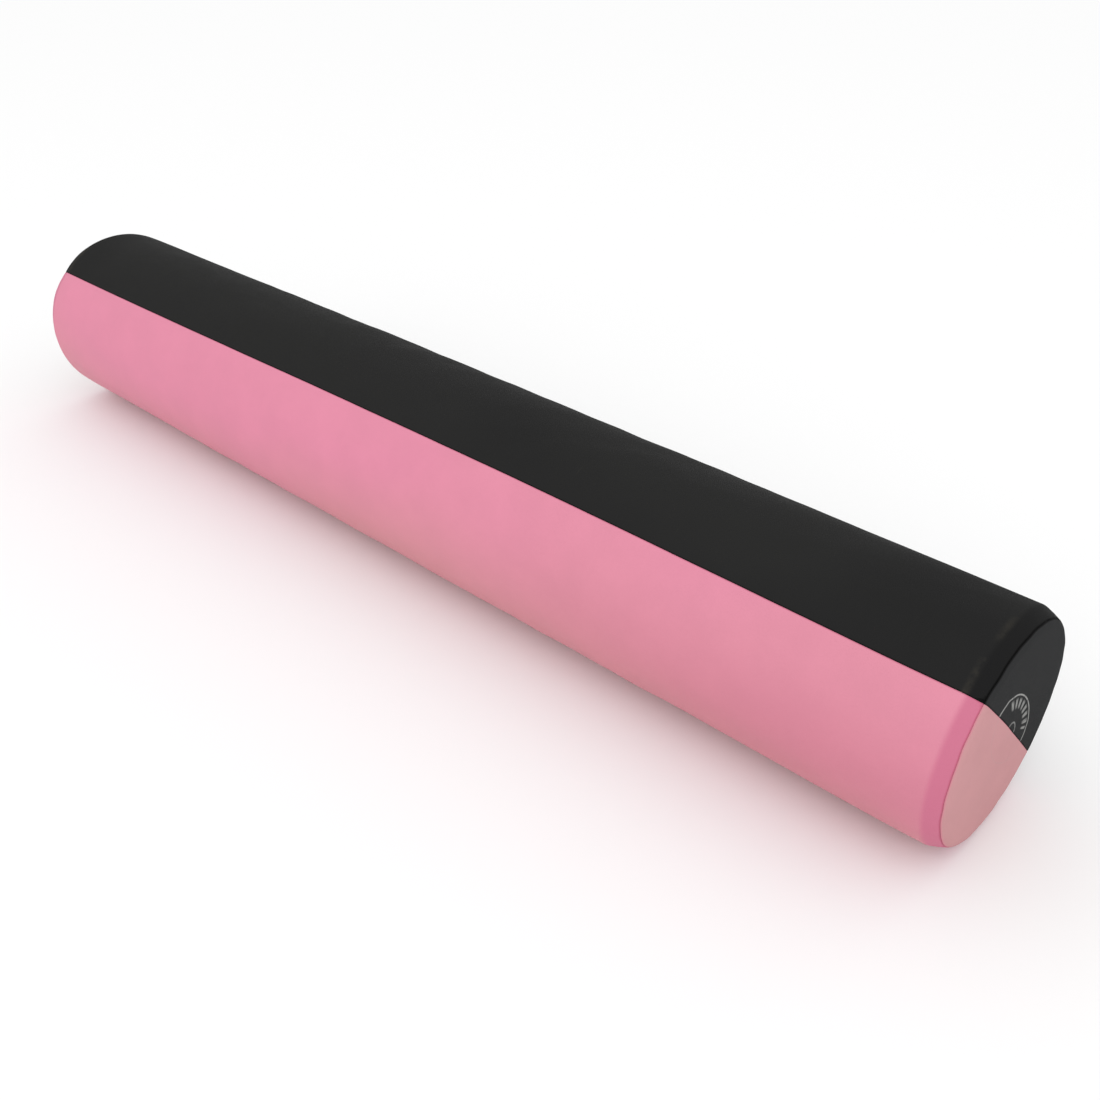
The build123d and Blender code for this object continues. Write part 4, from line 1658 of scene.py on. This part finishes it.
# %% Group: rubbed through
rub_group, given, made = new_group("rubbed through", {"Place": None, "Amount": 0.5}, ["Mask"])
tree = rub_group
chips = place(
    tree, "ShaderNodeTexNoise", {"Vector": given["Place"], "Scale": 900.0, "Detail": 5.0}
).outputs["Fac"]
facing = place(tree, "ShaderNodeNewGeometry")
sideways = place(
    tree,
    "ShaderNodeVectorMath",
    {0: facing.outputs["True Normal"], 1: tuple(OUT_AT_ZIP)},
    operation="DOT_PRODUCT",
).outputs["Value"]
tilted = calc(tree, "ABSOLUTE", sideways)
not_flat = calc(tree, "SUBTRACT", 1.0, fade(tree, tilted, 0.80, 0.985))
rim = calc(tree, "MULTIPLY", fade(tree, tilted, 0.12, 0.5), not_flat)
level = calc(tree, "MULTIPLY_ADD", rim, 0.20, chips)
cut = calc(tree, "MULTIPLY_ADD", given["Amount"], -0.16, 0.76)
tree.links.new(fade(tree, level, cut, calc(tree, "ADD", cut, 0.05)), made["Mask"])


# %% Metal finishes
def enamel(name):
    """Black enamel over zinc, worn at its edges."""
    material, tree, shader, where = new_material(name, (0.35, 1.5), 0.5)
    worn = use_group(tree, rub_group, {"Place": where, "Amount": 0.55})["Mask"]
    patches = use_group(tree, mottle_group, {"Place": where, "Patches": 90.0})
    colour = blend_colour(tree, patches["Large"], (0.012, 0.012, 0.013, 1), (0.022, 0.022, 0.023, 1))
    colour = blend_colour(tree, worn, colour, (0.48, 0.47, 0.45, 1))
    tree.links.new(colour, shader.inputs["Base Color"])
    tree.links.new(worn, shader.inputs["Metallic"])
    tree.links.new(calc(tree, "MULTIPLY_ADD", patches["Small"], 0.18, 0.26), shader.inputs["Roughness"])
    orange_peel = place(
        tree, "ShaderNodeBump", {"Strength": 0.25, "Distance": 0.0001, "Height": patches["Small"]}
    )
    tree.links.new(orange_peel.outputs["Normal"], shader.inputs["Normal"])
    return material


def aluminium(name):
    """Tumbled aluminium with fine scratches along the zip."""
    material, tree, shader, where = new_material(name, (0.4, 1.5), 0.5)
    shader.inputs["Metallic"].default_value = 1.0
    streaks = place(tree, "ShaderNodeMapping", {"Vector": where, "Scale": (500.0, 5000.0, 5000.0)})
    scratch = place(
        tree, "ShaderNodeTexNoise", {"Vector": streaks.outputs[0], "Scale": 1.0, "Detail": 4.0}
    ).outputs["Fac"]
    colour = blend_colour(tree, scratch, (0.50, 0.50, 0.51, 1), (0.66, 0.66, 0.67, 1))
    tree.links.new(colour, shader.inputs["Base Color"])
    tree.links.new(calc(tree, "MULTIPLY_ADD", scratch, 0.25, 0.25), shader.inputs["Roughness"])
    bump = place(tree, "ShaderNodeBump", {"Strength": 0.2, "Distance": 0.00005, "Height": scratch})
    tree.links.new(bump.outputs["Normal"], shader.inputs["Normal"])
    return material


def dress(node, finish):
    """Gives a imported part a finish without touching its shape."""
    part = frame["nodes"][node]
    if not part.data.materials:
        part.data.materials.append(finish)
    for index in range(len(part.data.materials)):
        part.data.materials[index] = finish


black_enamel = enamel("black_enamel")
bare_aluminium = aluminium("bare_aluminium")
dress("zip_slider", black_enamel)
dress("zip_pull", black_enamel)
dress("zip_top_stops", bare_aluminium)
dress("zip_bottom_stop", bare_aluminium)
print("metal parts dressed")

# %% [markdown]
# ## Last sizes
#
# The boxes of the imported model and of the dressed beam are printed side by side; soft cloth may stand a
# little proud.

# %% Sizes and finish
seen_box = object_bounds()
for label, (low, high) in (("model", cad_box), ("dressed", seen_box)):
    print(label, "box", [round(v, 4) for v in low], [round(v, 4) for v in high])
